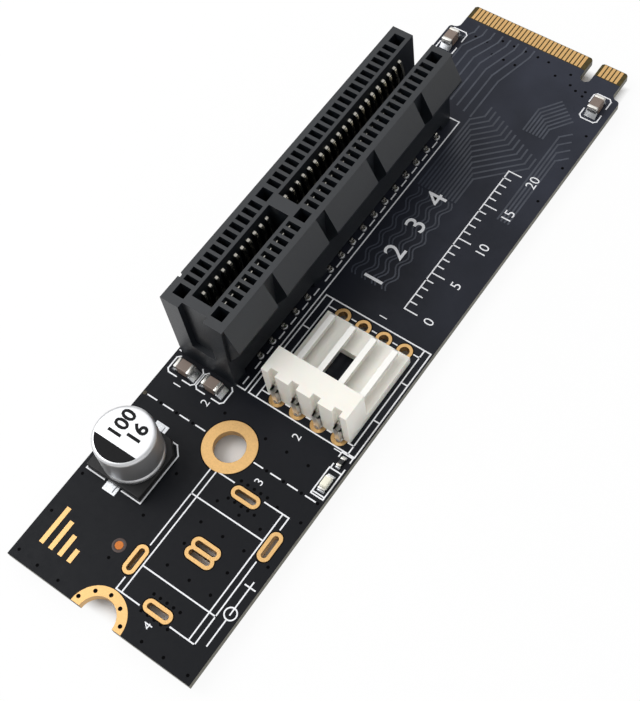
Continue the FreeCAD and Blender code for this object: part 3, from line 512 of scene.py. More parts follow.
def lacquered_laminate():
    """Glass-cloth laminate under a screened and cured black lacquer.

    The lacquer gives a satin, faintly orange-peeled black. The bare strip by the fingers and the
    routed edges show the resin and the cloth's weave.
    """
    made, tree, shader, place = material("lacquered glass laminate", IOR=1.5, Specular_IOR_Level=0.13)
    at = node(tree, "ShaderNodeSeparateXYZ", {"Vector": place}).outputs
    # The lacquer lightens from 60 mm to 14 mm along the card, towards the fingers: a painted reflection of
    # its grazing sheen. Cloudy patches within that lightening stand for copper pour under the lacquer, so
    # copper below is part real pour and part painted reflection.
    finger_strip, sheen_starts, sheen_full = -2.05 * MM, -60 * MM, -14 * MM
    patches = spread(tree, grain(tree, place, 7.0, 2.0), 0.62, 1.0, 0.36, 0.64)
    painted_sheen_ramp = spread(tree, at["Y"], 0.0, 1.0, sheen_starts, sheen_full)
    copper = calculate(tree, "MULTIPLY", patches, painted_sheen_ramp)
    lacquer = blend(tree, copper, tint("mask"), tint("mask_pour_and_sheen"))
    weave = node(tree, "ShaderNodeTexChecker", {"Vector": place, "Scale": 1 / (0.45 * MM)}).outputs["Fac"]
    bare = blend(tree, weave, tint("laminate"), shift(tint("laminate"), 0.8))
    fibres = spread(tree, grain(tree, place, 0.25, 2.0, stretch_by=(1.0, 1.0, 6.0)), 0.0, 1.0)
    cut = blend(tree, fibres, tint("laminate_edge"), shift(tint("laminate_edge"), 0.7))
    strip = calculate(tree, "GREATER_THAN", at["Y"], finger_strip)
    normal = node(tree, "ShaderNodeNewGeometry").outputs["True Normal"]
    upright = node(tree, "ShaderNodeSeparateXYZ", {"Vector": normal}).outputs["Z"]
    side = calculate(tree, "LESS_THAN", calculate(tree, "ABSOLUTE", upright), 0.5)
    face = blend(tree, strip, lacquer, bare)
    link(tree, blend(tree, side, face, cut), shader, "Base Color")
    peel = grain(tree, place, 0.6, 2.0)
    link(tree, spread(tree, peel, 0.34, 0.46), shader, "Roughness")
    relief(tree, shader, peel, 0.006)
    return made


def covered_copper():
    """Copper tracks under the lacquer: the same satin black, lighter where the copper shows through."""
    made, tree, shader, place = material("lacquer over copper", IOR=1.5, Specular_IOR_Level=0.36)
    cloud = spread(tree, grain(tree, place, 1.5), 0.0, 1.0)
    link(tree, blend(tree, cloud, tint("mask_track"), shift(tint("mask_track"), 0.7)), shader, "Base Color")
    link(tree, spread(tree, cloud, 0.32, 0.42, 0.0, 1.0), shader, "Roughness")
    return made


def bare_laminate():
    """Resin and glass showing in the narrow gap between lacquer and land, dull olive and dark."""
    made, tree, shader, place = material("bare laminate gap", IOR=1.5)
    cloud = spread(tree, grain(tree, place, 0.4), 0.0, 1.0)
    dark = shift(tint("laminate"), 0.35)
    link(tree, blend(tree, cloud, dark, shift(dark, 1.6)), shader, "Base Color")
    link(tree, spread(tree, cloud, 0.5, 0.65, 0.0, 1.0), shader, "Roughness")
    return made


def screened_ink():
    """White ink pushed through a mesh screen and baked: chalky, with slightly uneven cover."""
    made, tree, shader, place = material("screened white ink", IOR=1.45)
    cover = spread(tree, grain(tree, place, 0.12, 4.0, 0.7), 0.0, 1.0, 0.2, 0.5)
    link(tree, blend(tree, cover, shift(tint("ink"), 0.85), tint("ink")), shader, "Base Color")
    link(tree, spread(tree, cover, 0.6, 0.5, 0.0, 1.0), shader, "Roughness")
    return made


def metal(base, name, low, high, grain_mm, relief_mm, change, stretch_by=(1.0, 1.0, 1.0)):
    """A metal whose grain varies its colour, gloss and height."""
    made, tree, shader, place = material(name, Metallic=1.0)
    cloud = grain(tree, place, grain_mm, stretch_by=stretch_by)
    tone = spread(tree, cloud, 0.0, 1.0)
    link(tree, blend(tree, tone, shift(base, change), base), shader, "Base Color")
    link(tree, spread(tree, cloud, low, high), shader, "Roughness")
    relief(tree, shader, cloud, relief_mm)
    return made


def moulded(base, name, low, high, grain_mm, relief_mm, change, **constants):
    """A moulded or fired surface: fine even texture, with slightly uneven colour and gloss."""
    made, tree, shader, place = material(name, **constants)
    fine = grain(tree, place, grain_mm, 4.0, 0.65)
    flow = grain(tree, place, 4.0, 2.0)
    link(tree, blend(tree, spread(tree, flow, 0.0, 1.0), base, shift(base, change)), shader, "Base Color")
    link(tree, spread(tree, fine, low, high), shader, "Roughness")
    relief(tree, shader, fine, relief_mm)
    return made


# Each metal: its name, its roughness from and to, its grain and relief in millimetres, the factor that
# the grain changes its colour by and the scale of the grain along each axis.
METALS = {
    # Electroless nickel with a flash of gold: soft satin yellow, the copper's grain just showing.
    "gold": ("nickel gold plating", 0.34, 0.44, 0.15, 0.0012, 0.84),
    # Gold-flashed spring strip, rolled and stamped, so its grain runs along the strip.
    "contact": ("rolled spring strip", 0.12, 0.2, 0.08, 0.0004, 0.9, (1.0, 1.0, 0.2)),
    # Tin alloy frozen after wave soldering: bright with soft frosted patches.
    "solder": ("frozen tin solder", 0.2, 0.34, 0.3, 0.0006, 0.9),
    # Matt tin over drawn brass wire, faint lines along the pin.
    "pin": ("matt tinned brass", 0.42, 0.5, 0.1, 0.0005, 0.92, (1.0, 0.15, 1.0)),
    # Tin barrel-plated over the fired ends: smooth and bright.
    "tin": ("barrel plated tin", 0.2, 0.3, 0.06, 0.0006, 0.9),
    # Deep-drawn aluminium, brushed round by the tool and left bare.
    "can": ("drawn aluminium", 0.42, 0.5, 0.12, 0.0004, 0.96, (1.0, 1.0, 5.0)),
    # Etched copper left open for a placing machine to see, a little browned.
    "copper": ("etched copper", 0.35, 0.5, 0.15, 0.002, 0.78),
}
# Each moulded or fired surface: its name, its roughness from and to, its grain and relief in
# millimetres, the factor that flow marks change its colour by and the shader's constants.
MOULDED = {
    # Glass-filled polyester, moulded in polished steel: black with a low sheen.
    "slot": ("glass filled polyester", 0.38, 0.52, 0.12, 0.004, 1.25, {"IOR": 1.56}),
    # Unfilled nylon: ivory, slightly translucent, smooth.
    "nylon": (
        "ivory nylon", 0.36, 0.46, 0.2, 0.002, 0.96,
        {"IOR": 1.53, "Subsurface_Weight": 0.15, "Subsurface_Scale": 0.0006},
    ),
    # Heat-proof polyphenylene plate under the can.
    "base": ("moulded sulphide resin", 0.45, 0.6, 0.12, 0.004, 1.2, {"IOR": 1.6, "Specular_IOR_Level": 0.25}),
    # Fired barium titanate: matt brown-grey with specks.
    "ceramic": ("fired ceramic", 0.42, 0.6, 0.06, 0.003, 0.72, {"IOR": 1.7}),
    # Clear casting resin over the lamp's chip, yellowish white from the phosphor below.
    "lamp": ("cast lamp resin", 0.12, 0.22, 0.3, 0.001, 1.0, {"IOR": 1.5, "Coat_Weight": 0.4}),
    # White pressed laminate under the lamp.
    "lamp_base": ("pressed white laminate", 0.5, 0.62, 0.15, 0.002, 0.9, {"IOR": 1.5}),
    # Black overglaze on an alumina chip.
    "resistor": ("black overglaze", 0.25, 0.38, 0.1, 0.002, 1.3, {"IOR": 1.5}),
    # Pad-printed black ink on the can.
    "can_print": ("pad printed ink", 0.5, 0.62, 0.15, 0.001, 1.3, {"IOR": 1.5, "Specular_IOR_Level": 0.15}),
    # Epoxy plug in a drilled via, black against the lacquer.
    "plug": ("plugged via resin", 0.7, 0.85, 0.1, 0.002, 1.4, {"IOR": 1.5, "Specular_IOR_Level": 0.05}),
    # Browned clear lacquer ring left round the aiming dot.
    "stain": ("browned lacquer", 0.3, 0.45, 0.2, 0.002, 0.6, {"IOR": 1.5}),
}
OTHERS = {"laminate": lacquered_laminate, "tracks": covered_copper, "gap": bare_laminate, "ink": screened_ink}
# Each finish, made once and kept for every piece that asks for it.
MADE = {}


def made_of(name):
    """A finish, made the first time that it is asked for."""
    if name not in MADE:
        if name in METALS:
            MADE[name] = metal(tint(name), *METALS[name])
        elif name in MOULDED:
            *values, constants = MOULDED[name]
            MADE[name] = moulded(tint(name), *values, **constants)
        else:
            MADE[name] = OTHERS[name]()
    return MADE[name]


# ---------------------------------------------------------------- places and paths on the card

JACK_ALONG_X = [(4.44, -63.24), (4.44, -76.36)]
JACK_ALONG_Y = [(9.3, -65.87), (-0.42, -73.73)]
JACK_PAIR = [(4.44, -69.3), (4.44, -70.3)]
# Distance of a contact's tail from the middle of the card slot, in the inner and the outer row.
INNER_TAIL, OUTER_TAIL = 1.25, 3.25
# Distance of the two rows of header holes from the header's rear face.
FRONT_ROW, REAR_ROW = 11.07, -0.07


def contact_places(s):
    """Places of the contacts along the slot: eleven, the key's gap, and twenty-one more."""
    near = [s.first_contact + index for index in range(11)]
    far = [near[-1] + 3.0 + index for index in range(21)]
    return near + far


def pin_row(s, along):
    """Places of the header's four holes in a row across the card."""
    pitch = 2.5
    return [(s.header_x + pitch * (index - 1.5), along) for index in range(4)]


def front_row(s):
    return pin_row(s, s.header_rear + FRONT_ROW)


def rear_row(s):
    return pin_row(s, s.header_rear + REAR_ROW)


def tail_places(s):
    """Places of the contacts' tails: on each side every other one steps out to the outer row."""
    tails = []
    for index, y in enumerate(contact_places(s)):
        left, right = (OUTER_TAIL, INNER_TAIL) if index % 2 == 0 else (INNER_TAIL, OUTER_TAIL)
        tails += [(s.slot_x - left, y), (s.slot_x + right, y)]
    return tails


def slot_tracks():
    """Tracks that run from beside the card slot towards the fingers, and tracks that leave the fingers."""
    paths = []
    for index in range(12):
        x, bend, slant = -1.7 + 0.42 * index, -14.5 - 0.6 * index, 1.2 + 0.28 * index
        paths.append([(x, -24.6), (x, bend), (x + slant, bend + slant), (x + slant, bend + slant + 1.4)])
    for index in range(8):
        x = -8.0 + 1.05 * index
        paths.append([(x, -2.6), (x, -3.6), (x - 1.2, -5.6 - 0.4 * index), (x - 1.2, -12.0 - 0.3 * index)])
    for index in range(7):
        x, back = 4.0 + 0.4 * index, 0.3 * index
        paths.append([(x + 1.6, -7.2 - back), (x, -9.4 - back), (x, -12.6)])
    return paths


def wavy_tracks():
    """Four pairs of tracks that wave their way along the card under the large numerals."""
    start, wave, sway = -25.0, 2.5, 0.28
    turns = [step / 8 for step in range(41)]
    middles = [-1.4 + 1.25 * lane + offset for lane in range(4) for offset in (0.0, 0.42)]
    return [[(x + sway * math.sin(TURN * turn), start - wave * turn) for turn in turns] for x in middles]


def edge_tracks():
    """Four tracks along the card's right edge."""
    paths = []
    for index in range(4):
        x, turn = 7.8 + 0.42 * index, -11.5 - index
        paths.append([(x + 1.0, turn + 1.0), (x, turn), (x, -24.0)])
    return paths


def dot_places(s):
    """Places of the small plugged holes."""
    beside_slots = [(x, y) for y in (-62.15, -64.2, -75.3, -77.15) for x in (3.1, 3.87, 4.65, 5.42, 6.2)]
    in_jack = [(x, y) for x in (2.4, 5.0, 7.5) for y in (-65.0, -67.5, -70.0, -72.5)]
    round_jack = [(7.55, -62.4), (10.3, -62.4), (10.3, -67.5), (-2.6, -65.0), (-2.6, -70.0), (-2.65, -75.0)]
    at_end = [(-10.3, -70.0), (-10.3, -74.5), (-10.3, -79.1), (-7.8, -79.3), (-5.2, -79.3)]
    at_end += [(4.95, -79.3), (7.5, -79.3), (10.3, -79.3)]
    before_header = [(2.4, -57.4), (4.95, -57.4), (7.5, -57.4), (-2.6, -57.4)]
    between_dashes = [(x, s.screw_y) for x in (-8.65, -6.65, -4.6, 4.5, 6.5, 8.6, 10.5)]
    by_fingers = [(x, -3.1) for x in (-4.5, -3.0, -1.5, 0.1, 1.5)]
    by_fingers += [(x, -5.4) for x in (-4.5, -3.0, -1.5, 7.1)]
    by_fingers += [(4.5, -3.4), (-6.0, -4.1), (-7.5, -4.1), (3.1, -4.4), (5.2, -4.7), (6.1, -5.1)]
    by_fingers += [(7.1, -4.7)]
    right_edge = [(10.2, y) for y in (-9.9, -14.9, -19.9)]
    near_end = beside_slots + in_jack + round_jack + at_end + before_header
    return near_end + between_dashes + by_fingers + right_edge


def uprights(*runs):
    """Lines along the card, each from its place across and its two ends."""
    return [[(x, start), (x, end)] for x, start, end in runs]


def level_lines(y, *spans):
    """Lines across the card at one place along it."""
    return [[(left, y), (right, y)] for left, right in spans]


def rectangle(left, low, right, high):
    return [(left, low), (right, low), (right, high), (left, high), (left, low)]


def slot_lines():
    """The line round the card slot and the dashes between its outer joints."""
    right, near, far = -2.45, -54.35, -15.45
    starts = [-53.85 + 2.0 * index for index in range(18)]
    dashes = uprights(*[(-3.05, start, start + 0.85) for start in starts])
    return [[(-10.75, near), (right, near), (right, far), (-3.8, far)], *dashes]


def header_lines(s):
    """The header's box, the lines inside it and the lines between its holes."""
    left, right, near, far = -2.0, 10.75, -54.35, -41.15
    inner_left, inner_right, clear_of_hole = -1.1, 10.0, 1.02
    inner = uprights((inner_left, near, far), (inner_right, near, far))
    chains = [rectangle(left, near, right, far), *inner]
    beside = [hole[0] + side * clear_of_hole for hole in front_row(s) for side in (-1, 1)]
    stops = [inner_left, *beside, inner_right]
    for y in (-42.1, -53.4):
        chains += level_lines(y, *zip(stops[::2], stops[1::2]))
    for y in (-45.3, -50.1):
        chains += level_lines(y, (left, inner_left), (inner_right, right))
    return chains


def jack_lines():
    """The unfitted jack's outline, open where its plated slots lie, and the lines inside it."""
    left, right, near, far = -0.15, 9.1, -76.85, -62.65
    inner_left, inner_right = 0.5, 8.4
    ends = level_lines(near, (left, 2.6), (6.28, right)) + level_lines(far, (left, 2.6), (6.28, right))
    sides = uprights(
        (left, near, -75.6), (left, -71.86, far), (right, near, -67.74), (right, -64.0, far),
        (inner_left, near, far), (inner_right, near, far),
    )
    return ends + sides + level_lines(-65.75, (left, inner_right)) + level_lines(-73.8, (inner_left, right))


def capacitor_lines():
    """The capacitor's outline: square at its left corners, clipped at one of the right, open at the tabs."""
    left, right, near, far = -10.35, -3.6, -69.3, -62.65
    return [
        [(-8.1, far), (left, far), (left, near), (-8.1, near)],
        [(-5.9, far), (right - 0.8, far), (right, far - 0.85), (right, near), (-5.9, near)],
    ]


def chip_lines():
    """Brackets with clipped corners at the ends of the four chip capacitors."""
    clip = 0.3
    chains = []
    near, far = -56.9, -54.85
    for left, right in ((-10.5, -7.1), (-6.9, -3.4)):
        for x, inwards in ((left, 1), (right, -1)):
            chains.append([
                (x + inwards * 1.3, near), (x + inwards * clip, near), (x, near + clip),
                (x, far - clip), (x + inwards * clip, far),
            ])
    for left, right in ((-10.6, -8.45), (8.1, 10.2)):
        for open_end, shut_end, back in ((-5.6, -4.2, -clip), (-6.7, -7.95, clip)):
            chains.append([
                (left, open_end), (left, shut_end + back), (left + clip, shut_end),
                (right - clip, shut_end), (right, shut_end + back), (right, open_end),
            ])
    return chains


def small_part_lines():
    """The lamp's box with the bar at its one end, and the resistor's bracket."""
    left, right, start, end = 9.4, 10.7, -55.0, -54.5
    box = [rectangle(9.3, -59.45, right, -56.4), *level_lines(-59.2, (9.45, 10.55))]
    bracket = [[(left, start), (left, end), (right, end), (right, start)]]
    return box + uprights((left, -55.9, -56.4)) + bracket + uprights((right, -55.9, -56.4))


def screw_lines(s):
    """Dashes across the card through the screw hole."""
    left = [(-10.3, -9.2), (-8.3, -7.1), (-6.2, -5.1), (-4.2, -3.1)]
    right = [(3.0, 4.0), (5.0, 6.1), (7.0, 8.1), (9.1, 10.2)]
    return level_lines(s.screw_y, *left, *right)


def polarity_lines():
    """The jack's polarity symbol: minus, plus, and the leads to the ring."""
    x, half = 10.1, 0.55
    plus = uprights((x, -70.5, -69.4)) + level_lines(-69.95, (x - half, x + half))
    return uprights((x, -76.3, -75.2)) + plus + uprights((x, -75.2, -73.6), (x, -72.95, -70.5))


SCALE_ZERO = -38.2


def scale_lines():
    """A plain millimetre scale where the board has room beside the slot, each fifth mark longer."""
    x, zero, span = 5.6, SCALE_ZERO, 20
    marks = []
    for step in range(span + 1):
        reach = 1.5 if step % 5 == 0 else 0.8
        marks += level_lines(zero + step, (x, x + reach))
    return uprights((x, zero, zero + span)) + marks


# Heights of the numerals, then every numeral: what it says, its height and its place.
TINY, SMALL, SCALE, LARGE = 1.2, 1.3, 1.6, 3.2
LABELS = [("1", SMALL, (-8.5, -57.6)), ("2", SMALL, (-4.9, -57.6)), ("3", SMALL, (4.6, -61.3))]
LABELS += [("4", SMALL, (4.54, -77.9)), ("2", SMALL, (4.86, -55.6)), ("1", SMALL, (4.43, -40.2))]
LABELS += [("1", TINY, (9.0, -54.6))]
LABELS += [(str(5 * step), SCALE, (8.6, SCALE_ZERO + 5 * step)) for step in range(5)]
LABELS += [(str(lane + 1), LARGE, (1.1, -37.0 + 3.9 * lane)) for lane in range(4)]


# ---------------------------------------------------------------- the card's pieces

class CARD_OT_board(bpy.types.Operator):
    """Finishes the board, its covered tracks and the small drilled dots"""
    bl_idname = "card.board"
    bl_label = "Board"

    def execute(self, context):
        s = sizes()
        dress("board", "laminate")
        wide, narrow, rise = 0.2, 0.16, 0.012
        strips = strips_of(slot_tracks(), wide) + strips_of(wavy_tracks(), narrow)
        strips += strips_of(edge_tracks(), wide)
        sheet = strip_sheet("covered_tracks", strips, s.board_top, rise)
        finish(sheet, "tracks", smooth=0)
        dot = turned("drilled_dots", [(0.0, 0.002), (0.12, 0.004), (0.15, 0.012), (0.17, 0.0)], steps=12)
        dots = copies(lift(dot, s.board_top), dot_places(s))
        finish(dots, "plug")
        rim = turned("notch_dots", [(0.0, 0.002), (0.16, 0.004), (0.2, 0.01), (0.22, 0.0)], steps=14)
        around = [(-2.6, -79.35), (-1.6, -78.1), (-0.1, -77.6), (1.4, -78.1), (2.45, -79.35)]
        finish(copies(lift(rim, s.board_top + s.copper), around), "plug")
        return {"FINISHED"}


class CARD_OT_print(bpy.types.Operator):
    """Prints the white lines and plain numerals"""
    bl_idname = "card.print"
    bl_label = "Printed lines"

    def execute(self, context):
        s = sizes()
        top = s.board_top
        chains = slot_lines() + header_lines(s) + jack_lines() + capacitor_lines() + chip_lines()
        chains += small_part_lines() + screw_lines(s) + polarity_lines() + scale_lines()
        sheet = strip_sheet("printed_lines", strips_of(chains, s.line), top, s.ink)
        finish(sheet, "ink", smooth=0)
        inside, outside = 0.53, 0.67
        loop = [(inside, top), (inside, top + s.ink), (outside, top + s.ink), (outside, top)]
        finish(turned("polarity_ring", loop, (10.1, -72.85)), "ink")
        marks = []
        for index, (text, size, place) in enumerate(LABELS):
            bolder = 0.01 if size == LARGE else -0.006
            marks.append(numerals(f"mark_{index}", text, size, place, top, s.ink, bolder))
        finish(join("printed_numerals", marks), "ink", smooth=0)
        return {"FINISHED"}


def jack_rings(s, name, profile, sink):
    """A ring turned from the profile round each jack slot; the pair's second lies a hair lower, by sink."""
    rings = []
    for places, along in ((JACK_ALONG_X + JACK_PAIR, 0), (JACK_ALONG_Y, 1)):
        for place in places:
            ring = turned(name, profile, place, offset=TURN / 64)
            if place == JACK_PAIR[1]:
                lift(ring, -sink)
            rings.append(stretch(ring, along, s.jack_slot - s.jack_width, place[along]))
    return rings


class CARD_OT_plating(bpy.types.Operator):
    """Makes the plated holes and slots, the gold lands and the aiming dot"""
    bl_idname = "card.plating"
    bl_label = "Plated holes and lands"

    def execute(self, context):
        s = sizes()
        top, copper = s.board_top, s.copper
        for name in ("top_fingers", "bottom_fingers"):
            dress(name, "gold")
        skin, fine = 0.03, 64
        profile = ring_profile(s.screw_bore / 2 - skin, s.screw_ring / 2, top, copper, skin)
        ring = turned("screw_ring", profile, (0.0, s.screw_y), fine)
        finish(ring, "gold", "mount_ring")

        profile = ring_profile(s.notch_bore / 2 - skin, s.notch_ring / 2, top, copper, skin)
        rim = turned("end_notch_land", profile, (0.0, s.end_y), fine)
        pick_all("FACE")
        cut = {"plane_co": (0.0, s.end_y + 0.02, 0.0), "plane_no": (0.0, 1.0, 0.0)}
        bpy.ops.mesh.bisect(**cut, use_fill=True, clear_inner=True)
        finish(close(rim), "gold", "end_ring")

        half = s.jack_width / 2
        slot_land = half + s.jack_land
        eyes = jack_rings(s, "jack_eye", ring_profile(half, slot_land, top, copper), 0.004)
        finish(join("jack_slot_eyes", eyes), "gold", "jack_slot_plating", "jack_pair_plating")

        hole = s.pin_hole / 2
        pin_land = hole + s.pin_land
        for name, row, replaced in (
            ("front_eyes", front_row(s), "front_hole_plating"),
            ("rear_eyes", rear_row(s), "rear_hole_plating"),
        ):
            eye = turned(name, ring_profile(hole, pin_land, top, copper), steps=24)
            finish(copies(eye, row), "gold", replaced)

        gaps = [turned("gap", gap_profile(pin_land, top), place) for place in front_row(s)]
        gaps.append(turned("gap", gap_profile(s.screw_ring / 2, top), (0.0, s.screw_y)))
        gaps += jack_rings(s, "gap", gap_profile(slot_land, top), 0.001)
        finish(join("lacquer_gaps", gaps), "plug")

        chains = uprights(*[(-9.0 + 1.15 * index, -77.2, -73.6 - 0.9 * index) for index in range(4)])
        bars = strip_sheet("gold_bars", strips_of(chains, 0.5), top, 0.03)
        finish(bars, "gold", smooth=0)
        spot = (-2.6, -73.55)
        edge = s.fiducial / 2
        profile = [(0.0, top + copper), (edge - 0.015, top + copper), (edge, top + 0.02), (edge, top)]
        finish(turned("aiming_dot", profile, spot), "copper", "fiducial")
        profile = [(edge, top), (edge + 0.02, top + 0.006), (edge + 0.24, top + 0.006), (edge + 0.28, top)]
        finish(turned("aiming_dot_well", profile, spot), "stain")
        profile = [(0.0, top + 0.012), (0.16, top + 0.012), (0.22, top)]
        speck = turned("edge_speck", profile, (-10.74, s.screw_y), 16)
        finish(speck, "gap")
        return {"FINISHED"}


def set_back(piece):
    """Draws the wall under the slot's lugs inwards, which leaves the outer row of joints in sight."""
    s = sizes()
    half_width, lugs = 3.675, 5.5
    wall = s.slot_x + half_width
    pick_all("FACE")
    bpy.ops.mesh.bisect(plane_co=(0.0, 0.0, lugs), plane_no=(0.0, 0.0, 1.0))
    pick(piece, "VERT", lambda point: point.co.x > wall - 0.05 and point.co.z < lugs + 0.01)
    bpy.ops.transform.translate(value=(-s.slot_wall_set, 0.0, 0.0))
    object_mode()


def spring_contact(s, name, spine):
    """A spring contact: a flat strip drawn along its spine, thickened and its long edges eased."""
    points = [Vector((x, 0.0, z)) for x, z in spine]
    clear()
    bpy.ops.mesh.primitive_plane_add(size=1, location=points[0])
    bpy.ops.transform.resize(value=(0.001, s.contact, 1.0))
    strip = call(name)
    settle()
    pick(strip, "EDGE", lambda edge: all(end.x > points[0].x for end in ends_of(strip, edge)))
    extrude_through(points)
    close(strip, 0.005)
    modify(strip, "SOLIDIFY", thickness=s.contact_thick, offset=0.0, use_even_offset=True)
    return round_edges(strip, 0.045, 1, 60)


class CARD_OT_slot(bpy.types.Operator):
    """Models the card slot's housing, its spring contacts and their solder joints"""
    bl_idname = "card.slot"
    bl_label = "Card slot"

    def execute(self, context):
        s = sizes()
        housing = rounded_copy("card_slot_housing", "slot_housing", s.slot_edge, shaped=set_back)
        finish(housing, "slot", "slot_housing")

        # The spine, as distance from the slot's middle and height: head, shoulder, point of contact, leg.
        top = s.slot_top
        spine = [
            (1.74, top - 0.5), (1.55, top - 0.94), (1.24, top - 1.28), (1.06, top - 1.35), (0.94, top - 1.47),
            (0.65, top - 3.1), (0.68, top - 3.6), (0.82, top - 4.3), (1.0, top - 5.3), (1.16, top - 6.6),
            (INNER_TAIL, 3.8), (INNER_TAIL, 1.6),
        ]
        step_out = [(1.35, 1.38), (1.6, 1.34), (2.9, 1.34), (3.15, 1.28)]
        step_out += [(OUTER_TAIL, 1.05), (OUTER_TAIL, 0.0)]
        inner = spring_contact(s, "contact_inner", spine + [(INNER_TAIL, 0.0)])
        outer = spring_contact(s, "contact_outer", spine + step_out)
        for side, word in ((-1, "left"), (1, "right")):
            made = []
            for index, y in enumerate(contact_places(s)):
                source = outer if (index % 2 == 0) == (side < 0) else inner
                place = Matrix.Translation((s.slot_x, y, 0.0)) @ Matrix.Diagonal((side, 1.0, 1.0, 1.0))
                made.append(twin("contact", source.data, place))
            row = close(join("spring_contacts_" + word, made))
            finish(row, "contact", "slot_contacts_" + word)
        bpy.data.objects.remove(inner)
        bpy.data.objects.remove(outer)

        tails = tail_places(s)
        cone = turned("slot_joints", [
            (0.0, -0.9), (0.16, -0.88), (0.2, -0.62), (0.24, -0.4), (0.34, -0.16), (0.5, -0.03), (0.5, 0.0),
            (0.0, 0.0),
        ], steps=10)
        finish(copies(cone, tails), "solder", "slot_solder")
        eye = turned("slot_eyes", [(0.2, 0.0), (0.22, 0.1), (0.27, 0.14), (0.35, 0.1), (0.4, 0.0)], steps=16)
        outer_tails = [place for place in tails if abs(place[0] - s.slot_x) > 2]
        finish(copies(lift(eye, s.board_top), outer_tails), "solder")
        return {"FINISHED"}


class CARD_OT_header(bpy.types.Operator):
    """Models the power header, its bent pins and their solder joints"""
    bl_idname = "card.header"
    bl_label = "Power header"

    def execute(self, context):
        s = sizes()
        housing = rounded_copy("power_header_housing", "header_housing", s.header_edge, 3)
        finish(housing, "nylon", "header_housing")

        # One pin: up through the board, a quarter bend, then out level to a narrowed tip.
        row = s.header_rear + REAR_ROW
        half, bend, point = s.pin / 2, 0.08, 0.25
        rise = s.board_top + 2.73 - half
        out = row + half + bend
        tip = s.header_rear + 9.9
        foot, start = -0.9, 0.3
        pin = block("header_pin", (0.0, row), (s.pin, s.pin), (foot, start))
        pick(pin, "FACE", faces_up)
        extrude((0.0, 0.0, rise - start))
        bpy.ops.mesh.spin(steps=6, angle=-TURN / 4, center=(0.0, out, rise), axis=(1.0, 0.0, 0.0))
        extrude((0.0, tip - point - out, 0.0))
        extrude((0.0, point, 0.0))
        bpy.ops.transform.resize(value=(0.55, 1.0, 0.55))
        object_mode()
        pick(pin, "FACE", lambda face: face.normal.z < -0.5 and face.center.z < -0.5)
        bpy.ops.mesh.inset(thickness=0.12, depth=0.0)
        close(pin)
        round_edges(pin, 0.04, 2, 50)
        pins = copies(pin, pin_row(s, 0.0))
        finish(pins, "pin", "header_pins")

        joint = turned("header_joints", [
            (0.0, -0.84), (0.34, -0.84), (0.42, -0.62), (0.5, -0.4), (0.64, -0.2), (0.84, -0.05),
            (0.84, -0.03), (0.5, -0.02), (0.5, 0.8), (0.5, 0.85), (0.4, 1.0), (0.33, 1.1), (0.0, 1.1),
        ], steps=20)
        finish(copies(joint, rear_row(s)), "solder", "header_solder")
        return {"FINISHED"}


class CARD_OT_capacitor(bpy.types.Operator):
    """Models the capacitor's can, printed top, base and tabs"""
    bl_idname = "card.capacitor"
    bl_label = "Capacitor"

    def execute(self, context):
        s = sizes()
        centre = (s.can_x, s.can_y)
        x, y = centre
        reach, top, board = s.can_width / 2, s.can_top, s.board_top
        can = turned("capacitor_can", [
            (0.0, top), (reach - 0.4, top), (reach - 0.28, top - 0.02), (reach - 0.14, top - 0.08),
            (reach - 0.04, top - 0.2), (reach, top - 0.42), (reach, 2.75), (reach - 0.05, 2.6),
            (reach - 0.16, 2.48), (reach - 0.16, 2.34), (reach - 0.05, 2.22), (reach, 2.08), (reach, 1.86),
            (reach - 0.06, 1.76), (reach - 0.2, 1.7), (0.0, 1.7),
        ], centre, 64)
        finish(can, "can", "capacitor_can", smooth=40.0)

        chord, bare_rim, film = -1.2, 0.33, 0.006
        mark = lift(turned("polarity_mark", [(0.0, 0.0), (reach - bare_rim, 0.0)], centre, 64), top)
        pick_all("FACE")
        bpy.ops.mesh.bisect(plane_co=(0.0, y + chord, 0.0), plane_no=(0.0, 1.0, 0.0), clear_outer=True)
        pick_all("FACE")
        bpy.ops.mesh.dissolve_limited(angle_limit=math.radians(1))
        pick_all("FACE")
        extrude((0.0, 0.0, film))
        close(mark, 0.0001)
        size, bold = 2.1, 0.06
        values = [
            numerals("value_1", "100", size, (x - 0.8, y + 0.8), top, film, bold),
            numerals("value_2", "16", size, (x + 1.1, y + 0.8), top, film, bold),
        ]
        finish(join("can_printing", [mark, *values]), "can_print", smooth=0)

        side = 6.6
        base = block("capacitor_base_plate", centre, (side, side), (board + 0.1, 1.72))

        def stands_far(edge):
            one, other = ends_of(base, edge)
            return abs(one.z - other.z) > 0.1 and one.y > y

        pick(base, "EDGE", stands_far)
        bpy.ops.mesh.bevel(offset=1.3, segments=1)
        object_mode()
        round_edges(base, 0.14, 3, 30)
        finish(base, "base", "capacitor_base")
        tabs = []
        for way in (-1, 1):
            tab, land = (y + way, y + way * 4.05), (y + way * 3.2, y + way * 4.25)
            tabs.append(bar("tab", x, 0.8, tab, (board + 0.02, board + 0.2), 0.03))
            tabs.append(bar("land", x, 1.56, land, (board, board + 0.09), 0.035, 3))
        finish(join("capacitor_tabs", tabs), "solder", "capacitor_terminals")
        return {"FINISHED"}


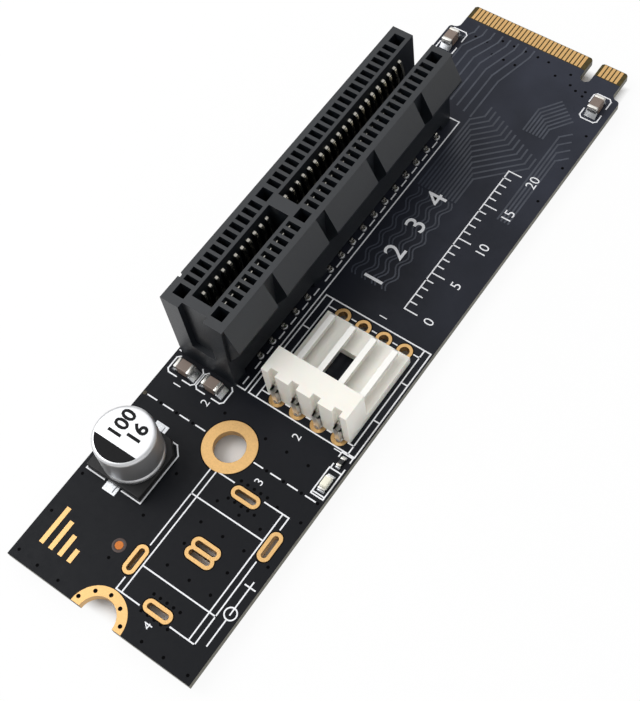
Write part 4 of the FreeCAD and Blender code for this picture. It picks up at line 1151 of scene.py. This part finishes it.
def chip(name, s, turned_along_y):
    """One chip capacitor round the origin: body, end caps and solder, as three pieces."""
    half, wide, board = s.chip_length / 2, s.chip_width, s.board_top
    low = board + 0.03
    high = low + s.chip_height
    cap, foot = 0.45, 0.62
    body = block(name + "_body", (0.0, 0.0), (2 * half - 0.12, wide - 0.06), (low, high - 0.04), 0.09, 3)
    caps, joints = [], []
    for side in (-1, 1):
        place = (side * (half - cap / 2), 0.0)
        caps.append(block(name + "_cap", place, (cap, wide), (low - 0.01, high - 0.02), 0.12, 3))
        place = (side * (half + 0.11), 0.0)
        joint = block(name + "_joint", place, (foot, wide + 0.08), (board, board + 0.55))

        def outer_top(edge):
            return all(end.z > board + 0.2 and end.x * side > half for end in ends_of(joint, edge))

        pick(joint, "EDGE", outer_top)
        bpy.ops.mesh.bevel(offset=0.5, segments=5, profile=0.25)
        object_mode()
        joints.append(round_edges(joint, 0.05, 2, 50))
    parts = [body, join(name + "_caps", caps), join(name + "_joints", joints)]
    if turned_along_y:
        for part in parts:
            part.data.transform(Matrix.Rotation(TURN / 4, 4, "Z"))
    return parts


class CARD_OT_chips(bpy.types.Operator):
    """Models the four chip capacitors, the lamp and the resistor"""
    bl_idname = "card.chips"
    bl_label = "Chips, lamp and resistor"

    def execute(self, context):
        s = sizes()
        beside_can, by_fingers = [(-8.7, -55.88), (-5.2, -55.88)], [(-9.55, -6.15), (9.2, -6.15)]
        rows = [[], [], []]
        for name, places, along_y in (("chip_x", beside_can, False), ("chip_y", by_fingers, True)):
            for row, part in zip(rows, chip(name, s, along_y)):
                row.append(copies(part, places))
        bodies, caps, fillets = rows
        finish(join("chip_ceramics", bodies), "ceramic", "chip_capacitor_bodies")
        finish(join("chip_ends", caps), "tin", "chip_capacitor_caps")
        finish(join("chip_joints", fillets), "solder", "chip_solder")

        x, y, top = s.lamp_x, s.lamp_y, s.board_top
        plate = block("lamp_plate", (x, y), (0.8, 1.6), (top + 0.03, top + 0.28), 0.03)
        finish(plate, "lamp_base", "led_base")
        lens = block("lamp_lens", (x, y), (0.76, 1.1), (top + 0.28, top + 0.66))
        pick(lens, "FACE", faces_up)
        bpy.ops.transform.resize(value=(0.88, 0.9, 1.0))
        object_mode()
        round_edges(lens, 0.05, 3, 30)
        finish(lens, "lamp", "led_lens")
        ends, joints = [], []
        for y, half, wide, tall in ((s.lamp_y, 0.8, 0.8, 0.3), (s.resistor_y, 0.5, 0.5, 0.37)):
            for side in (-1, 1):
                span = (y + side * half, y + side * (half - 0.25))
                ends.append(bar("end", x, wide, span, (top + 0.02, top + tall), 0.04))
                span = (y + side * (half - 0.1), y + side * (half + 0.25))
                joint = bar("joint", x, wide + 0.1, span, (top, top + 0.2))
                pick(joint, "FACE", faces_up)
                bpy.ops.transform.resize(value=(0.8, 0.5, 1.0))
                object_mode()
                joints.append(round_edges(joint, 0.05, 2, 30))
        finish(join("small_ends", ends), "tin", "led_terminals", "resistor_terminals")
        finish(join("small_joints", joints), "solder", "small_part_solder")
        body = block("resistor_chip", (x, s.resistor_y), (0.48, 0.94), (top + 0.03, top + 0.35), 0.03)
        finish(body, "resistor", "resistor_body")
        return {"FINISHED"}


# ---------------------------------------------------------------- stage

# The camera's place in millimetres, the way that it looks and its lens.
CAMERA_AZIMUTH = math.radians(43.095)
CAMERA_TILT = math.radians(59.091)
CAMERA_ROLL = math.radians(9.173)
CAMERA_PLACE = (46.40, -89.82, 115.09)
CAMERA_LENS = 67.0
CAMERA_SHIFT = (-0.0385, -0.082)


def lamp(name, place, aim, width, power):
    """A round soft lamp, in watts, that faces a point."""
    clear()
    bpy.ops.object.light_add(type="AREA", location=[value * MM for value in place])
    light = bpy.context.object
    light.name = name
    light.data.shape = "DISK"
    light.data.size = width * MM
    light.data.energy = power
    away = Vector(place) - Vector(aim)
    light.rotation_euler = away.to_track_quat("Z", "Y").to_euler()


class CARD_OT_stage(bpy.types.Operator):
    """Sets the pale floor, the soft lights and the camera"""
    bl_idname = "card.stage"
    bl_label = "Stage"

    def execute(self, context):
        scene = context.scene
        clear()
        bpy.ops.mesh.primitive_plane_add(size=4.0, location=(0.0, -40.0 * MM, -0.9 * MM))
        floor = call("floor")
        pale = bpy.data.materials.new("matt white card")
        pale.use_nodes = True
        tree = pale.node_tree
        tree.nodes.clear()
        # Coated card, pressed smooth: it takes a soft shadow under the part and reads as white round it.
        rays = node(tree, "ShaderNodeLightPath").outputs
        seen = calculate(tree, "MAXIMUM", rays["Is Camera Ray"], rays["Is Glossy Ray"])
        place = node(tree, "ShaderNodeTexCoord").outputs["Object"]
        at = node(tree, "ShaderNodeSeparateXYZ", {"Vector": place}).outputs
        outside, most = [], 0.93
        for axis, half in (("X", 11.0), ("Y", 40.0)):
            reach = calculate(tree, "ABSOLUTE", at[axis])
            outside.append(spread(tree, reach, 0.0, most, (half - 1.6) * MM, (half - 0.4) * MM))
        part = calculate(tree, "MULTIPLY", seen, calculate(tree, "MAXIMUM", *outside))
        fibre = node(tree, "ShaderNodeTexNoise", {"Vector": place, "Scale": 1 / (3.0 * MM)}).outputs["Fac"]
        paper = blend(tree, fibre, to_linear("#f4f4f4"), to_linear("#fafafa"))
        card = node(tree, "ShaderNodeBsdfDiffuse", {"Color": paper}).outputs[0]
        glow = node(tree, "ShaderNodeEmission", {"Color": to_linear("#ffffff"), "Strength": 1.0}).outputs[0]
        mixed = node(tree, "ShaderNodeMixShader", {0: part, 1: card, 2: glow}).outputs[0]
        node(tree, "ShaderNodeOutputMaterial", {"Surface": mixed})
        floor.data.materials.append(pale)

        world = bpy.data.worlds.new("studio air")
        world.use_nodes = True
        scene.world = world
        air = world.node_tree.nodes["Background"]
        air.inputs["Color"].default_value = to_linear("#ffffff")
        air.inputs["Strength"].default_value = 0.5

        middle = (0.0, -42.0, 0.0)
        lamp("key", (-230.0, -150.0, 260.0), middle, width=300.0, power=0.8)
        lamp("softbox", (-130.0, 130.0, 370.0), middle, width=460.0, power=0.45)
        lamp("fill", (260.0, -220.0, 160.0), middle, width=300.0, power=0.12)

        sight = Vector((
            -math.sin(CAMERA_AZIMUTH) * math.cos(CAMERA_TILT),
            math.cos(CAMERA_AZIMUTH) * math.cos(CAMERA_TILT),
            -math.sin(CAMERA_TILT),
        ))
        level = sight.cross(Vector((0.0, 0.0, 1.0))).normalized()
        down = sight.cross(level)
        across = math.cos(CAMERA_ROLL) * level + math.sin(CAMERA_ROLL) * down
        upward = math.sin(CAMERA_ROLL) * level - math.cos(CAMERA_ROLL) * down
        bpy.ops.object.camera_add()
        camera = bpy.context.object
        facing = Matrix((across, upward, -sight)).transposed().to_4x4()
        camera.matrix_world = Matrix.Translation(Vector(CAMERA_PLACE) * MM) @ facing
        camera.data.lens = CAMERA_LENS
        camera.data.shift_x, camera.data.shift_y = CAMERA_SHIFT
        camera.data.clip_start, camera.data.clip_end = 0.005, 10.0
        scene.camera = camera
        scene.view_settings.view_transform = "Standard"
        return {"FINISHED"}


OPERATORS = (
    CARD_OT_board, CARD_OT_print, CARD_OT_plating, CARD_OT_slot, CARD_OT_header, CARD_OT_capacitor,
    CARD_OT_chips, CARD_OT_stage,
)


class CARD_PT_panel(bpy.types.Panel):
    """Lists the card's pieces"""
    bl_idname = "CARD_PT_panel"
    bl_label = "Adapter card"
    bl_space_type = "VIEW_3D"
    bl_region_type = "UI"
    bl_category = "Adapter"

    def draw(self, context):
        for operator in OPERATORS:
            self.layout.operator(operator.bl_idname)
        for group in (context.scene.card_sizes, context.scene.card_colours):
            column = self.layout.column()
            for name in type(group).__annotations__:
                column.prop(group, name)


CLASSES = (CardSizes, CardColours, *OPERATORS, CARD_PT_panel)


def register():
    for item in CLASSES:
        bpy.utils.register_class(item)
    bpy.types.Scene.card_sizes = bpy.props.PointerProperty(type=CardSizes)
    bpy.types.Scene.card_colours = bpy.props.PointerProperty(type=CardColours)


def unregister():
    del bpy.types.Scene.card_sizes
    del bpy.types.Scene.card_colours
    for item in reversed(CLASSES):
        bpy.utils.unregister_class(item)


def main():
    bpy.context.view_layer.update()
    register()
    for operator in OPERATORS:
        group, name = operator.bl_idname.split(".")
        getattr(getattr(bpy.ops, group), name)()


if __name__ == "__main__":
    main()
